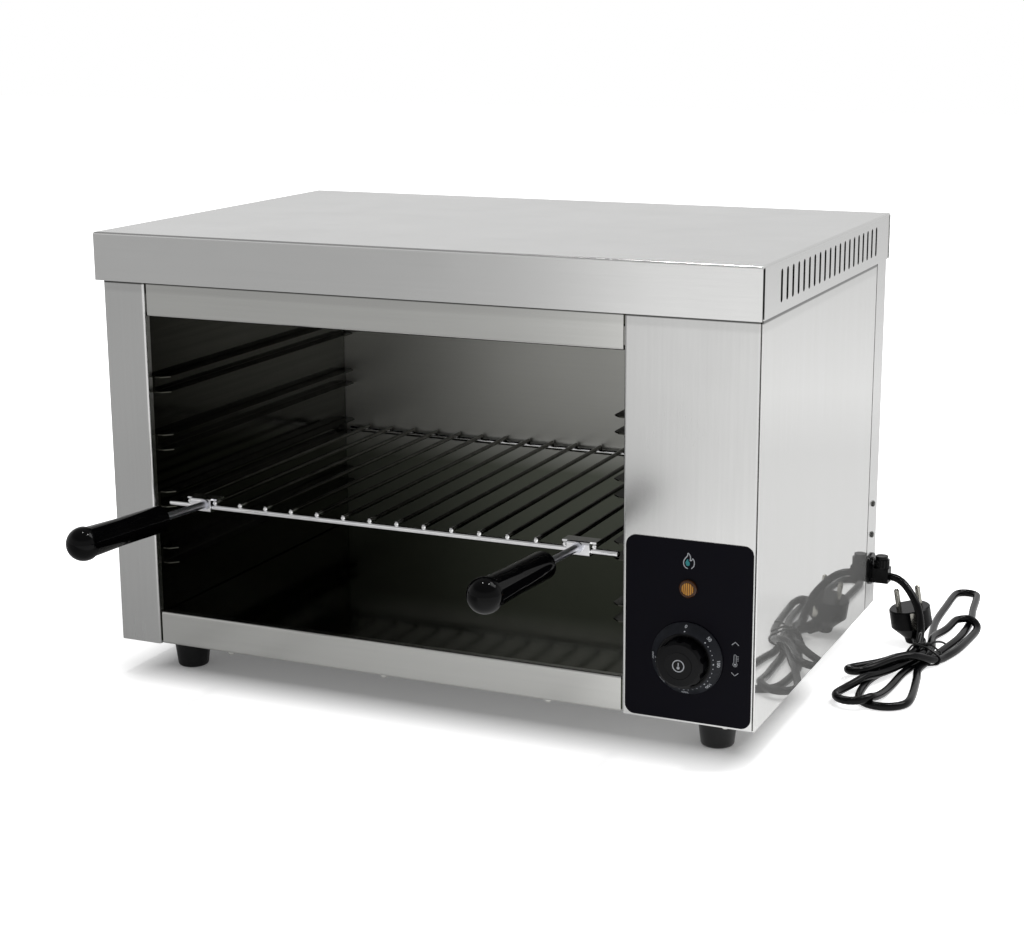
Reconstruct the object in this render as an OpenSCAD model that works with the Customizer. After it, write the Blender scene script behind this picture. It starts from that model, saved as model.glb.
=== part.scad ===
// Counter-top cheese melter: an open-fronted electric top-heat grill with a sliding rack.
// The origin is on the table under the middle of the whole, grips included; +Y is the rear.

/* [Body] */
// Width across the two side panels
body_w = 577.4; // [565:0.2:610]
// Depth from the front face to the rear panel
body_d = 366.5; // [350:0.5:400]
// Height of the front from its lower edge to the lid's lower edge
front_h = 317.4; // [310:0.2:340]
// Thickness of every folded sheet
sheet = 1; // [0.8:0.1:1.2]
// Inner radius of every bend
bend_r = 1; // [0.6:0.1:1.5]
// Depth of the post's and fascia's folded returns
return_d = 7; // [6:0.5:9]
// Length of the rear panel's wrap along each side
strip_w = 32.5; // [28:0.5:34]
// Open seam between a side panel and the rear wrap
strip_seam = 2; // [0.5:0.1:2.5]

/* [Lid] */
// Height of the lid's skirt
lid_skirt = 40.4; // [36:0.2:46]
// Overhang of the lid in front of the body
lid_front = 9; // [4:0.5:14]
// Overhang of the lid behind the body
lid_rear = 2.5; // [2:0.5:6]
// Clearance between the lid's skirt and the side panels
lid_gap = 0.3; // [0.2:0.05:0.5]
// Number of vent slots in each side of the lid
slot_count = 20; // [10:1:21]
// Distance between two vent slots
slot_pitch = 14.8; // [12:0.2:15]
// Width of a vent slot
slot_w = 5; // [3:0.25:6]
// Height of a vent slot
slot_h = 25; // [16:1:26]
// Distance from the body's front face to the first slot
slot_start = 39; // [34:1:44]

/* [Front] */
// Width of the left post
post_w = 40; // [36:1:44]
// Width of the control fascia
fascia_w = 108.1; // [106:0.1:116]
// Visible height of the top rail
top_rail_h = 30; // [26:1:34]
// Visible height of the bottom rail
bottom_rail_h = 29; // [29:0.5:34]
// Set-back of the two rails from the front face
rail_recess = 2; // [1.6:0.2:3]
// Open gap at each end of the two rails
rail_gap = 1.5; // [1:0.25:2]
// Depth of the rails' folded flanges
rail_flange = 18; // [16:1:20]

/* [Oven] */
// Distance from the oven's back wall to the rear face
back_space = 26.5; // [24:0.5:31]
// Height of the oven floor above the body's underside
floor_h = 27; // [24:0.5:27]
// Distance from the lid's lower edge down to the oven ceiling
ceiling_drop = 11.4; // [10:0.2:13]
// Open seam at the oven's rear corners
corner_gap = 0.8; // [0.5:0.1:1]
// Height of the middle of the lowest rack rail above the body's underside
first_level = 78; // [68:1:80]
// Distance between two rack levels
level_pitch = 50; // [46:1:52]
// Level that the rack is in, counted from the lowest
rack_level = 2; // [1:1:4]
// Height of a rack rail's channel
channel_h = 14; // [13:0.5:16]
// Depth of a rack rail's channel
channel_d = 13; // [12:0.5:14]
// Distance from the front face to the channels' front ends
channel_start = 9; // [9:0.5:10]
// Corner cut at the ends of a channel's flanges
channel_cut = 6; // [3:0.5:6]

/* [Rack] */
// Distance between two rods
rod_pitch = 24.8; // [24:0.1:25]
// Least length of a cross bar outside its outer rods
rod_margin = 15; // [12:0.5:18]
// Diameter of a rod
rod_d = 4; // [3.5:0.25:4.5]
// Clearance between the rods' rear ends and the oven's back wall
rod_end_gap = 3; // [2:0.5:6]
// Diameter of the two cross bars
bar_d = 5; // [4.5:0.25:6]
// Clearance between a cross bar's end and the oven wall
bar_end_gap = 7.6; // [6:0.2:8]
// Depth of the weld between rods and bars
weld_sink = 0.5; // [0.2:0.1:0.8]
// Distance from the front face to the rods' front ends
rack_front = 11; // [11:0.5:12]

/* [Handles] */
// Width of a handle bracket's tab
tab_w = 19.4; // [16:0.2:20]
// Thickness of a handle bracket's sheet
tab_t = 1.5; // [1.2:0.1:2]
// Length of the bracket's flange over the rods
tab_flange = 15; // [12:1:18]
// Diameter of a handle rod
handle_rod_d = 6; // [5:0.5:7]
// Length of a handle rod in the open, from its bracket to its grip
handle_reach = 70; // [50:1:75]
// Length of a grip without its domed end
grip_len = 100; // [90:0.5:115]
// Diameter of a grip at its inner end
grip_thin = 20; // [18:0.5:22]
// Diameter of a grip before its domed end
grip_thick = 24.5; // [22:0.5:27]
// Diameter of the domed end
dome_d = 27; // [25:0.5:30]
// Sideways offset of the left handle on its bracket
handle_offset = 5; // [0:0.5:5]
// Upward tilt of the handles in degrees
handle_tilt = 3.2; // [0:0.2:6]

/* [Controls] */
// Width of the control plate
plate_w = 102; // [96:0.5:103]
// Height of the control plate
plate_h = 144.5; // [140:0.5:150]
// Thickness of the control plate
plate_t = 1; // [0.6:0.1:1.5]
// Corner radius of the control plate
plate_r = 8; // [4:0.5:10]
// Gap under the control plate
plate_low = 1.6; // [1:0.2:3]
// Height of the dial's centre above the body's underside
dial_h = 53; // [50:1:56]
// Outer diameter of the dial's skirt
dial_d = 57.4; // [54:0.2:60]
// Diameter of the dial's grip
dial_grip_d = 38; // [36:0.5:40]
// Height of the dial's grip above the control plate
dial_tall = 21; // [18:0.5:24]
// Running clearance of the thermostat shaft
shaft_gap = 0.05; // [0.03:0.01:0.08]
// Diameter of the thermostat shaft
shaft_d = 6; // [6:0.1:6.5]
// Height of the lamp's centre above the body's underside
lamp_h = 108.4; // [104:0.2:112]
// Diameter of the lamp's lens
lamp_d = 14; // [13:0.5:17]

/* [Feet and cord] */
// Height of a foot under the body
foot_h = 31.4; // [25:0.2:40]
// Distance from a side panel to a foot's centre
foot_in_x = 43.5; // [42:0.5:50]
// Distance from the front or rear face to a foot's centre
foot_in_y = 44.4; // [43:0.2:50]
// Diameter of a foot at its top
foot_top_d = 34.5; // [30:0.5:38]
// Diameter of a foot at its base
foot_base_d = 27; // [24:0.5:30]
// Diameter of the mains cord
cord_d = 7; // [6:0.5:8]
// Height of the cord's exit above the body's underside
gland_h = 29.5; // [28:0.5:32]
// Diameter of the plug's face
plug_d = 37; // [35:0.5:38]
// Height of the plug's body
plug_h = 34; // [32:0.5:36]

/* [Hidden] */
$fn = 64;
cut = 1;
touch = 0.3;
dome_lip = 1.5;

// Reach of the handles in front of the front face
dome_at = handle_reach + grip_len + dome_lip;
front_reach = dome_at * cos(handle_tilt) + dome_d / 2 + tab_t + touch - rack_front;

// Planes of the body; Y is centred on the whole depth, from the grips' tips to the lid's screws
x_left = -body_w / 2;
x_right = body_w / 2;
strip_head_h = 1.9;
y_front = (front_reach - body_d - lid_rear - strip_head_h) / 2;
y_rear = y_front + body_d;
z_base = foot_h;
z_pan = z_base + sheet;
z_pan_top = z_pan + sheet;
z_lid_low = z_base + front_h;
z_top = z_lid_low + lid_skirt;
z_under_lid = z_top - sheet;
y_seam = y_rear - strip_w;
y_rail = y_front + rail_recess;
y_return = y_front + return_d;

// Planes of the oven
x_oven_l = x_left + post_w;
x_oven_r = x_right - fascia_w;
x_oven_mid = (x_oven_l + x_oven_r) / 2;
y_oven = y_rear - back_space;
z_floor = z_base + floor_h;
z_ceiling = z_lid_low - ceiling_drop;
liner_rise = 16;
z_liner = z_ceiling + liner_rise;
z_rail_low = z_lid_low - top_rail_h;
liner_foot = 12;
seam_side = 0.5;
x_fascia_r = x_right - sheet - seam_side;

// Lid
lid_w = body_w + 2 * (sheet + lid_gap);
y_lid_front = y_front - lid_front;
y_lid_rear = y_rear + lid_rear;
lid_corner_gap = 5;
lid_bend = bend_r + sheet;
vent_clear = 1.5;
z_side_top = z_lid_low + (lid_skirt - slot_h) / 2 - vent_clear;
y_side_low = y_front + slot_start - slot_pitch / 2;

// Rack
levels = 4;
channel_t = 1;
rack_z_flange = z_base + first_level + (rack_level - 1) * level_pitch - channel_h / 2 + channel_t;
z_bar = rack_z_flange + bar_d / 2 + touch;
z_rod = z_bar + bar_d / 2 + rod_d / 2 - weld_sink;
y_rod = y_front + rack_front;
y_bar_front = y_rod + bar_d / 2;
rod_len = y_oven - rod_end_gap - y_rod;
y_bar_back = y_rod + rod_len - bar_d / 2;
bar_len = x_oven_r - x_oven_l - 2 * bar_end_gap;
rod_count = floor((bar_len - 2 * rod_margin) / rod_pitch) + 1;
x_rod_first = x_oven_mid - (rod_count - 1) / 2 * rod_pitch;
handle_x = (rod_count - 2) / 2 * rod_pitch;
y_tab = y_rod - tab_t - touch;
z_tab_top = z_rod + rod_d / 2 + tab_t;
z_tab_low = z_bar - bar_d / 2 - touch - tab_t;
tab_wing = rod_pitch + rod_d;
tab_lip = 8;
z_handle = (z_rod + z_bar) / 2 + 1;
rod_in_grip = 60;
grip_groove = 1.2;
grip_edge = 1.5;
handle_collar_d = 9;
handle_collar_t = 2.5;

// Controls
x_dial = x_right - fascia_w / 2;
z_dial = z_base + dial_h;
z_lamp = z_base + lamp_h;
y_plate = y_front - plate_t;
skirt_h = 9.5;
skirt_wall = 2;
skirt_top_d = 43;
recess_d = 42;
dial_floor = 6;
dial_gap = 0.4;
flutes = 10;
flute_d = 8;
flute_in = 1.3;
recess_edge = 0.6;
skirt_rim = 1.2;
boss_d = 12;
cap_d = 21;
cap_t = 1.2;
screw_span = 28;
thermo_w = 40;
thermo_h = 36;
thermo_d = 30;
shaft_in = 14;
bush_d = 10;
hole_gap = 0.3;
lamp_stem_d = 10;
lamp_head = 2.5;
lamp_edge = 0.8;
lamp_rim = 1.6;
lamp_groove = 0.5;
lamp_groove_h = 0.7;
lamp_body_len = 26;
lamp_flange_t = 4;
lamp_flange_d = 16;
lamp_tab = [0.8, 3, 8];
lamp_tab_out = 2.5;
m4_d = 4;
m4_head_d = 7;
m4_head_h = 2.4;

// Heating elements
heater_d = 8;
heater_drop = 10;
heater_z = z_ceiling - heater_drop;
heater_gap = 60;
heater_between = 70;
heater_back = 5;
heater_front_y = (y_front + y_oven - heater_between) / 2 + heater_back - heater_gap;
heater_y = [heater_front_y, heater_front_y + heater_gap + heater_between];
heater_left = 50;
heater_out = 22;
heater_bush_d = 14;
heater_bush_t = 6;
heater_hole_gap = 0.2;
hanger_t = 1.5;
hanger_over = 12;
hanger_under = 3;
hanger_in = [120, 70];
hanger_x = [x_oven_l + hanger_in[0], x_oven_r - hanger_in[1]];
terminal_d = 4;
terminal_out = 14;
terminal_nut_d = 8;
terminal_nut_t = 3;

// Thermostat bulb and capillary
bulb_d = 6;
bulb_len = 44;
bulb_y = heater_y[1] - heater_between / 2;
bulb_drop = 8;
bulb_z = z_ceiling - bulb_drop;
bulb_in = 12;
capillary_d = 1.6;
capillary_out = 16;
capillary_rise = 40;
clip_t = 1.5;

// Insulation
wool_top_t = 26;
wool_left_t = 20;

// Base and electrics
base_rim = 15;
block_l = 42;
block_w = 20;
block_h = 16;
block_front = 110;
block_y = y_rear - block_front;
block_out = 48;
block_x = x_oven_r + block_out;
core_d = 2;
core_pitch = 2.3;
sheath_in = 24;
core_straight = 4;
core_fan = 14;
core_in = 6;
lead_side = [14, 20];
lead_drop_z = [20, 30];
lead_out = 8;
lead_deep = 6;
lead_high = 12;
stud_d = 5;
stud_h = 14;
wire_ball = 1.1;
stud_out = 36;
stud_x = block_x + stud_out;
nut_h = 4;
base_screw_x = [for (share = [0.184, 0.441, 0.698, 0.955]) x_left + share * body_w];
base_screw_in = 9;
base_screw_y = y_front + base_screw_in;
base_head_h = 3.6;
base_head_d = 7;
base_shank = 4;
foot_screw_out = 4;
foot_x = x_right - foot_in_x;
foot_y = body_d / 2 - foot_in_y;
y_mid = y_front + body_d / 2;
foot_clear_d = 8;
foot_clear_h = 7;
foot_web = 8;
foot_bore_d = 11;

// Screws of the rear wrap
strip_screw_back = 1.5;
strip_screw_y = y_seam + strip_w / 2 - strip_screw_back;
strip_screw_up = 67.8;
strip_screw_pitch = 29;
strip_screw_z = [for (i = [0, 1]) z_base + strip_screw_up + i * strip_screw_pitch];
strip_screw_len = 8;
strip_head_d = 5.6;
strip_shank_d = 3;
lid_screw_x = body_w / 3;
lid_screw_up = 14;
lid_screw_z = z_lid_low + lid_screw_up;
lid_screw_len = 10;

// Gland
z_cord = z_base + gland_h;
y_gland = y_seam + strip_w / 2;
gland_flange_d = 29;
gland_flange_t = 1.5;
gland_neck_d = 21;
gland_neck_l = 2.5;
gland_l = 17.5;
gland_w = 13;
gland_low = 5.5;
gland_up = 8;
gland_thread_d = 16;
gland_thread_l = 12;
gland_nut_d = 22;
gland_nut_t = 4;
clamp_d = 14.4;
clamp_cap_d = 11.2;
clamp_neck_d = 8;
clamp_rise = 7.8;
clamp_cap_h = 3.2;
clamp_x = 10;
clamp_ribs = 16;
clamp_rib_cut = 1.4;
clamp_slot = [1.2, 1.8];
gland_flange_up = 6;
gland_flange_z = z_cord + gland_flange_up;
gland_face = x_right + gland_l;

// Hank of tied loops: each run goes from the tie by an offset and has a half width
hank_h = 3 * cord_d;
hank_tie = [gland_face + 42, y_gland - 33];
hank_waist = 14;
run_inset = 0.6;
hank_runs = [[[4, 188], 17], [[13, 122], 14], [[-35, -126], 15], [[-5, -138], 18]];

// Cord route from inside the casing through the gland and on to the top of the hank. What lies
// outside is chosen by hand: X and Y offsets and the share of the drop
x_sheath = x_right - sheath_in;
lead_run = [[0, 0, 0], [6, -1, 0.01], [12, -4, 0.07], [18, -8.5, 0.2], [23, -13.5, 0.35],
            [27, -18.5, 0.51], [30, -22.5, 0.7], [31.5, -24.5, 0.85], [32.5, -25.5, 1]];
lead_drop = z_cord - hank_h + 0.1;
lead_points = concat([[x_sheath, y_gland, z_cord]], [for (p = lead_run)
    [gland_face + p[0], y_gland + p[1], z_cord - p[2] * lead_drop]]);
lead_sides = 10;

// Plug
plug_at = [gland_face + 25, y_gland + 1.5, 1.5];
plug_lean = 10;
plug_lean_turn = 24;
plug_neck_d = 15;
plug_rim_h = 17;
plug_tail_d = 11;
plug_tail_z = 6;
plug_tail_turn = -62;
plug_tail_len = 34;
plug_bite_d = plug_d + 2;
pin_d = 4.8;
pin_len = 19;
pin_span = 19;
pin_root = 6;
earth_w = 6;
earth_t = 1;

// ---- Shared shapes ----

// Extrudes a (y, z) outline along X, an (x, z) outline along Y and an (x, y) outline along Z
module along_x(x0, x1) {
    translate([x0, 0, 0]) rotate([90, 0, 90]) linear_extrude(x1 - x0) children();
}

module along_y(y0, y1) {
    translate([0, y1, 0]) rotate([90, 0, 0]) linear_extrude(y1 - y0) children();
}

module along_z(z0, z1) {
    translate([0, 0, z0]) linear_extrude(z1 - z0) children();
}

// A box between two corners
module block(p, q) {
    translate(p) cube(q - p);
}

// Cylinders along X and Y from a point, and a cone or cylinder along Z
module rod_x(p, d, len) {
    translate(p) rotate([0, 90, 0]) cylinder(d = d, h = len);
}

module rod_y(p, d, len) {
    translate(p) rotate([-90, 0, 0]) cylinder(d = d, h = len);
}

// A straight slot with round ends, upright in its outline
module slot_outline(w, h) {
    square([w, h - w], center = true);
    for (s = [-1, 1]) translate([0, s * (h - w) / 2]) circle(d = w);
}

// A rectangle with round corners
module round_rect(w, h, r) {
    square([w - 2 * r, h], center = true);
    square([w, h - 2 * r], center = true);
    for (sx = [-1, 1], sy = [-1, 1])
        translate([sx * (w / 2 - r), sy * (h / 2 - r)]) circle(r = r);
}

function unit(v) = v / norm(v);

// Points of one face of a folded sheet. The sheet lies to the left of the walk along pts.
function fold_face(pts, t, r, inner) = [
    for (i = [0:len(pts) - 1])
        let (first = i == 0, last = i == len(pts) - 1)
        let (din = first ? unit(pts[1] - pts[0]) : unit(pts[i] - pts[i - 1]))
        let (dout = last ? din : unit(pts[i + 1] - pts[i]))
        let (left = [-din[1], din[0]])
        let (turn = din[0] * dout[1] - din[1] * dout[0])
        let (ra = turn > 0 ? r + t : r)
        let (rb = turn > 0 ? r : r + t)
        let (c = pts[i] - ra * din + ra * dout)
        let (rr = inner ? rb : ra)
        if (first || last) inner ? pts[i] + t * left : pts[i]
        else for (a = [0:18:90]) c + rr * (din * sin(a) - dout * cos(a))
];

function reversed(v) = [for (i = [len(v) - 1:-1:0]) v[i]];

module folded(pts, t = sheet, r = bend_r) {
    polygon(concat(fold_face(pts, t, r, false), reversed(fold_face(pts, t, r, true))));
}

// ---- Casing ----

// The lid's box, its four upright sides and its top edges rounded
module lid_block(w, y0, y1, z1, r) {
    intersection() {
        along_x(-w / 2, w / 2) round_top(y0, y1, z_lid_low, z1, r);
        along_y(y0, y1) round_top(-w / 2, w / 2, z_lid_low, z1, r);
    }
}

module round_top(u0, u1, v0, v1, r) {
    translate([u0, v0]) square([u1 - u0, v1 - r - v0]);
    translate([u0 + r, v0]) square([u1 - u0 - 2 * r, v1 - v0]);
    for (u = [u0 + r, u1 - r]) translate([u, v1 - r]) circle(r = r);
}

module lid() {
    color("silver") difference() {
        lid_block(lid_w, y_lid_front, y_lid_rear, z_top, lid_bend);
        translate([0, 0, -cut])
            lid_block(lid_w - 2 * sheet, y_lid_front + sheet, y_lid_rear - sheet,
                      z_under_lid + cut, lid_gap);
        for (sx = [-1, 1], sy = [-1, 1]) lid_corner_seam(sx, sy);
        for (sx = [-1, 1], i = [0:slot_count - 1])
            translate([0, y_front + slot_start + i * slot_pitch, z_lid_low + lid_skirt / 2])
                along_x(sx * lid_w / 2 - sheet - cut, sx * lid_w / 2 + sheet + cut)
                    slot_outline(slot_w, slot_h);
        for (sx = [-1, 1])
            rod_y([sx * lid_screw_x, y_lid_rear - sheet - cut, lid_screw_z],
                  strip_shank_d + 2 * hole_gap, sheet + 2 * cut);
    }
}

// Open seam where a side skirt ends behind the front or rear skirt
module lid_corner_seam(sx, sy) {
    x = sx * (lid_w / 2 - sheet / 2);
    y = sy < 0 ? y_lid_front + sheet : y_lid_rear - sheet - lid_corner_gap;
    translate([x - sheet, y, z_lid_low - cut])
        cube([2 * sheet, lid_corner_gap, lid_skirt - lid_bend + cut]);
}

// The post reaches up to the lid; the wall behind it ends below the vent slots
module left_side() {
    color("silver") difference() {
        along_z(z_base, z_under_lid)
            folded([[x_left, y_seam - strip_seam], [x_left, y_front],
                    [x_oven_l, y_front], [x_oven_l, y_return]]);
        block([x_left - cut, y_side_low, z_side_top], [x_left + sheet + cut, y_seam, z_top]);
    }
}

module right_side() {
    color("silver") block([x_right - sheet, y_front, z_base],
                          [x_right, y_seam - strip_seam, z_side_top]);
}

module control_fascia() {
    color("silver") difference() {
        union() {
            along_z(z_base, z_under_lid)
                folded([[x_oven_r, y_return], [x_oven_r, y_front],
                        [x_fascia_r, y_front], [x_fascia_r, y_return]]);
            block([x_oven_r + 2 * sheet + bend_r, y_front + sheet / 2, z_base],
                  [x_fascia_r - 2 * sheet - bend_r, y_front + sheet + rail_flange, z_pan]);
        }
        rod_y([x_dial, y_front - cut, z_dial], bush_d + 2 * hole_gap, sheet + 2 * cut);
        rod_y([x_dial, y_front - cut, z_lamp], lamp_stem_d + 2 * hole_gap, sheet + 2 * cut);
        for (s = [-1, 1])
            rod_y([x_dial + s * screw_span / 2, y_front - cut, z_dial],
                  m4_d + 2 * hole_gap, sheet + 2 * cut);
        base_screw_hole(3);
    }
}

module rear_panel() {
    color("silver") difference() {
        along_z(z_base, z_under_lid)
            folded([[x_right, y_seam], [x_right, y_rear], [x_left, y_rear], [x_left, y_seam]]);
        rod_x([x_right - sheet - cut, y_gland, z_cord], gland_thread_d + 2 * hole_gap,
              sheet + 2 * cut);
        for (z = strip_screw_z, sx = [-1, 1])
            rod_x([sx * x_right - sx * sheet / 2 - sheet / 2 - cut, strip_screw_y, z],
                  strip_shank_d + 2 * shaft_gap, sheet + 2 * cut);
        for (sx = [-1, 1])
            rod_y([sx * lid_screw_x, y_rear - sheet - cut, lid_screw_z],
                  strip_shank_d + 2 * shaft_gap, sheet + 2 * cut);
    }
}

module base_screw_hole(i) {
    translate([base_screw_x[i], base_screw_y, z_base - cut])
        cylinder(d = m4_d + 2 * shaft_gap, h = 2 * sheet + 2 * cut);
}

module base_pan() {
    x0 = x_left + sheet;
    x1 = x_right - sheet;
    color("silver") difference() {
        along_y(y_rail + sheet + bend_r, y_rear - sheet - bend_r)
            folded([[x0, z_pan + base_rim], [x0, z_pan], [x1, z_pan], [x1, z_pan + base_rim]]);
        pan_notch(x0 - cut, x_oven_l + touch);
        pan_notch(x_oven_r - touch, x_oven_r + sheet + bend_r);
        pan_notch(x_fascia_r - sheet - bend_r, x1 + cut);
        for (i = [0:3]) base_screw_hole(i);
        for (sx = [-1, 1], sy = [-1, 1]) foot_hole(sx, sy);
        translate([stud_x, block_y, z_pan - cut])
            cylinder(d = stud_d + 2 * shaft_gap, h = sheet + 2 * cut);
    }
}

// Clears a folded return of the front from the base pan
module pan_notch(x0, x1) {
    block([x0, y_front, z_pan - cut], [x1, y_return, z_pan + base_rim + cut]);
}

module foot_hole(sx, sy) {
    translate([sx * foot_x, y_mid + sy * foot_y, z_pan - cut])
        cylinder(d = m4_d + 2 * shaft_gap, h = sheet + 2 * cut);
}

module top_rail() {
    color("silver") along_x(x_oven_l + rail_gap, x_oven_r - rail_gap)
        folded([[y_rail, z_under_lid], [y_rail, z_rail_low], [y_rail + rail_flange, z_rail_low]]);
}

module bottom_rail() {
    z = z_base + bottom_rail_h;
    color("silver") difference() {
        along_x(x_oven_l + rail_gap, x_oven_r - rail_gap)
            folded([[y_rail + return_d, z], [y_rail, z], [y_rail, z_base],
                    [y_rail + rail_flange, z_base]]);
        for (i = [0:2]) base_screw_hole(i);
    }
}

// ---- Oven liner ----

module liner_left() {
    color("dimgray") difference() {
        along_y(y_return, y_oven - corner_gap)
            folded([[x_oven_l - liner_foot, z_pan_top], [x_oven_l, z_pan_top],
                    [x_oven_l, z_liner]]);
        foot_screw_clearance();
    }
}

// Room around the tips of the foot screws
module foot_screw_clearance() {
    for (sy = [-1, 1])
        translate([-foot_x, y_mid + sy * foot_y, z_pan_top - cut])
            cylinder(d = foot_clear_d, h = foot_clear_h + cut);
}

module liner_right() {
    color("dimgray") difference() {
        along_y(y_return, y_oven - corner_gap)
            folded([[x_oven_r, z_liner], [x_oven_r, z_pan_top],
                    [x_oven_r + liner_foot, z_pan_top]]);
        for (y = heater_y, s = [0, 1])
            rod_x([x_oven_r - cut, y + s * heater_gap, heater_z],
                  heater_d + 2 * heater_hole_gap, sheet + 2 * cut);
        rod_x([x_oven_r - cut, bulb_y, bulb_z], capillary_d + 2 * hole_gap, sheet + 2 * cut);
    }
}

module liner_back() {
    color("dimgray") block([x_oven_l - liner_foot, y_oven, z_pan_top],
                           [x_oven_r + liner_foot, y_oven + sheet, z_liner]);
}

module liner_floor() {
    x0 = x_oven_l + touch;
    x1 = x_oven_r - touch;
    color("dimgray") difference() {
        along_y(y_rail + sheet + touch, y_oven - touch)
            folded([[x1, z_pan_top], [x1, z_floor], [x0, z_floor], [x0, z_pan_top]]);
        foot_screw_clearance();
    }
}

module liner_ceiling() {
    color("dimgray") along_x(x_oven_l + touch, x_oven_r - touch)
        folded([[y_rail + sheet, z_liner], [y_rail + sheet, z_ceiling],
                [y_oven, z_ceiling], [y_oven, z_liner]]);
}

// One C-shaped rail with its open side towards the oven; side is -1 left, 1 right
module rack_rail(side, level) {
    x = side < 0 ? x_oven_l : x_oven_r;
    z0 = z_base + first_level + (level - 1) * level_pitch - channel_h / 2;
    y0 = y_front + channel_start;
    y1 = y_oven - touch;
    color("dimgray") difference() {
        translate([x, 0, 0]) facing(-side) along_y(y0, y1)
            folded([[channel_d, z0 + channel_h], [0, z0 + channel_h], [0, z0], [channel_d, z0]],
                   channel_t, bend_r / 2);
        translate([x, 0, 0]) facing(-side) along_z(z0 - cut, z0 + channel_h + cut)
            union() {
                polygon([[channel_d + cut, y0 - cut], [channel_d - channel_cut - cut, y0 - cut],
                         [channel_d + cut, y0 + channel_cut + cut]]);
                polygon([[channel_d + cut, y1 + cut], [channel_d - channel_cut - cut, y1 + cut],
                         [channel_d + cut, y1 - channel_cut - cut]]);
            }
    }
}

// Mirrors its children across X = 0 when s is negative
module facing(s) {
    if (s < 0) mirror([1, 0, 0]) children();
    else children();
}

// ---- Rack and handles ----

module cross_bar(y) {
    rod_x([x_oven_mid - bar_len / 2 + bar_d / 4, y, z_bar], bar_d, bar_len - bar_d / 2);
    for (s = [-1, 1])
        translate([x_oven_mid + s * (bar_len / 2 - bar_d / 4), y, z_bar]) rotate([0, s * 90, 0])
            cylinder(d1 = bar_d, d2 = bar_d / 2, h = bar_d / 4);
}

module rack_front_bar() {
    color("gainsboro") cross_bar(y_bar_front);
}

module rack_back_bar() {
    color("gainsboro") cross_bar(y_bar_back);
}

// The rods lie on the two bars and are seated into them at the welds
module rack_rods() {
    tip = rod_d / 4;
    color("gainsboro") difference() {
        for (i = [0:rod_count - 1]) translate([x_rod_first + i * rod_pitch, y_rod, z_rod]) {
            rod_y([0, tip, 0], rod_d, rod_len - 2 * tip);
            translate([0, tip, 0]) rotate([90, 0, 0]) cylinder(d1 = rod_d, d2 = rod_d / 2, h = tip);
            translate([0, rod_len - tip, 0]) rotate([-90, 0, 0])
                cylinder(d1 = rod_d, d2 = rod_d / 2, h = tip);
        }
        cross_bar(y_bar_front);
        cross_bar(y_bar_back);
    }
}

// A folded plate: a wing on top of two rods, a tab down in front of the bar, a lip under it
module handle_bracket(side) {
    x = x_oven_mid + side * handle_x;
    color("gainsboro") {
        along_x(x - tab_w / 2, x + tab_w / 2)
            folded([[y_tab + tab_flange, z_tab_top], [y_tab, z_tab_top], [y_tab, z_tab_low],
                    [y_tab + tab_lip, z_tab_low]], tab_t, tab_t / 2);
        for (s = [-1, 1])
            block([x + s * (tab_w + tab_wing) / 4 - (tab_wing - tab_w) / 4,
                   y_rod + rod_d / 4, z_tab_top - tab_t],
                  [x + s * (tab_w + tab_wing) / 4 + (tab_wing - tab_w) / 4,
                   y_tab + tab_flange, z_tab_top]);
    }
}

// Places its children on a handle's axis, which then runs along local +Z from the bracket
module on_handle(side) {
    offset_x = side < 0 ? handle_offset : 0;
    translate([x_oven_mid + side * handle_x + offset_x, y_tab, z_handle])
        rotate([90 - handle_tilt, 0, 0]) children();
}

module handle_rod(side) {
    color("darkgray") difference() {
        on_handle(side) union() {
            translate([0, 0, -tab_t])
                cylinder(d = handle_rod_d, h = tab_t + handle_reach + rod_in_grip);
            translate([0, 0, -tab_t]) cylinder(d = handle_collar_d, h = tab_t + handle_collar_t);
        }
        block([-body_w, y_tab, z_base], [body_w, y_tab + body_d, z_top]);
    }
}

module grip(side) {
    r_dome = dome_d / 2;
    color("black") on_handle(side) translate([0, 0, handle_reach]) difference() {
        rotate_extrude() {
            polygon([[0, 0], [grip_thin / 2 - grip_edge, 0], [grip_thin / 2, grip_edge],
                     [grip_thick / 2, grip_len - grip_groove], [0, grip_len - grip_groove]]);
            square([grip_thick / 2 - 1, grip_len]);
            translate([0, grip_len]) square([r_dome, dome_lip]);
            translate([0, grip_len + dome_lip]) intersection() {
                circle(r = r_dome);
                square([r_dome, r_dome]);
            }
        }
        translate([0, 0, -cut]) cylinder(d = handle_rod_d + 2 * shaft_gap, h = rod_in_grip + cut);
    }
}

// ---- Controls ----

module control_plate() {
    color([0.06, 0.06, 0.08]) difference() {
        translate([x_dial, 0, z_base + plate_low + plate_h / 2])
            along_y(y_plate, y_front) round_rect(plate_w, plate_h, plate_r);
        rod_y([x_dial, y_plate - cut, z_dial], bush_d + 2 * hole_gap, plate_t + 2 * cut);
        rod_y([x_dial, y_plate - cut, z_lamp], lamp_stem_d + 2 * hole_gap, plate_t + 2 * cut);
        for (s = [-1, 1])
            rod_y([x_dial + s * screw_span / 2, y_plate - cut, z_dial],
                  m4_d + 2 * hole_gap, plate_t + 2 * cut);
    }
}

// Places its children in front of the control plate, local +Z outwards
module on_plate(z) {
    translate([x_dial, y_plate, z]) rotate([90, 0, 0]) children();
}

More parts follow.
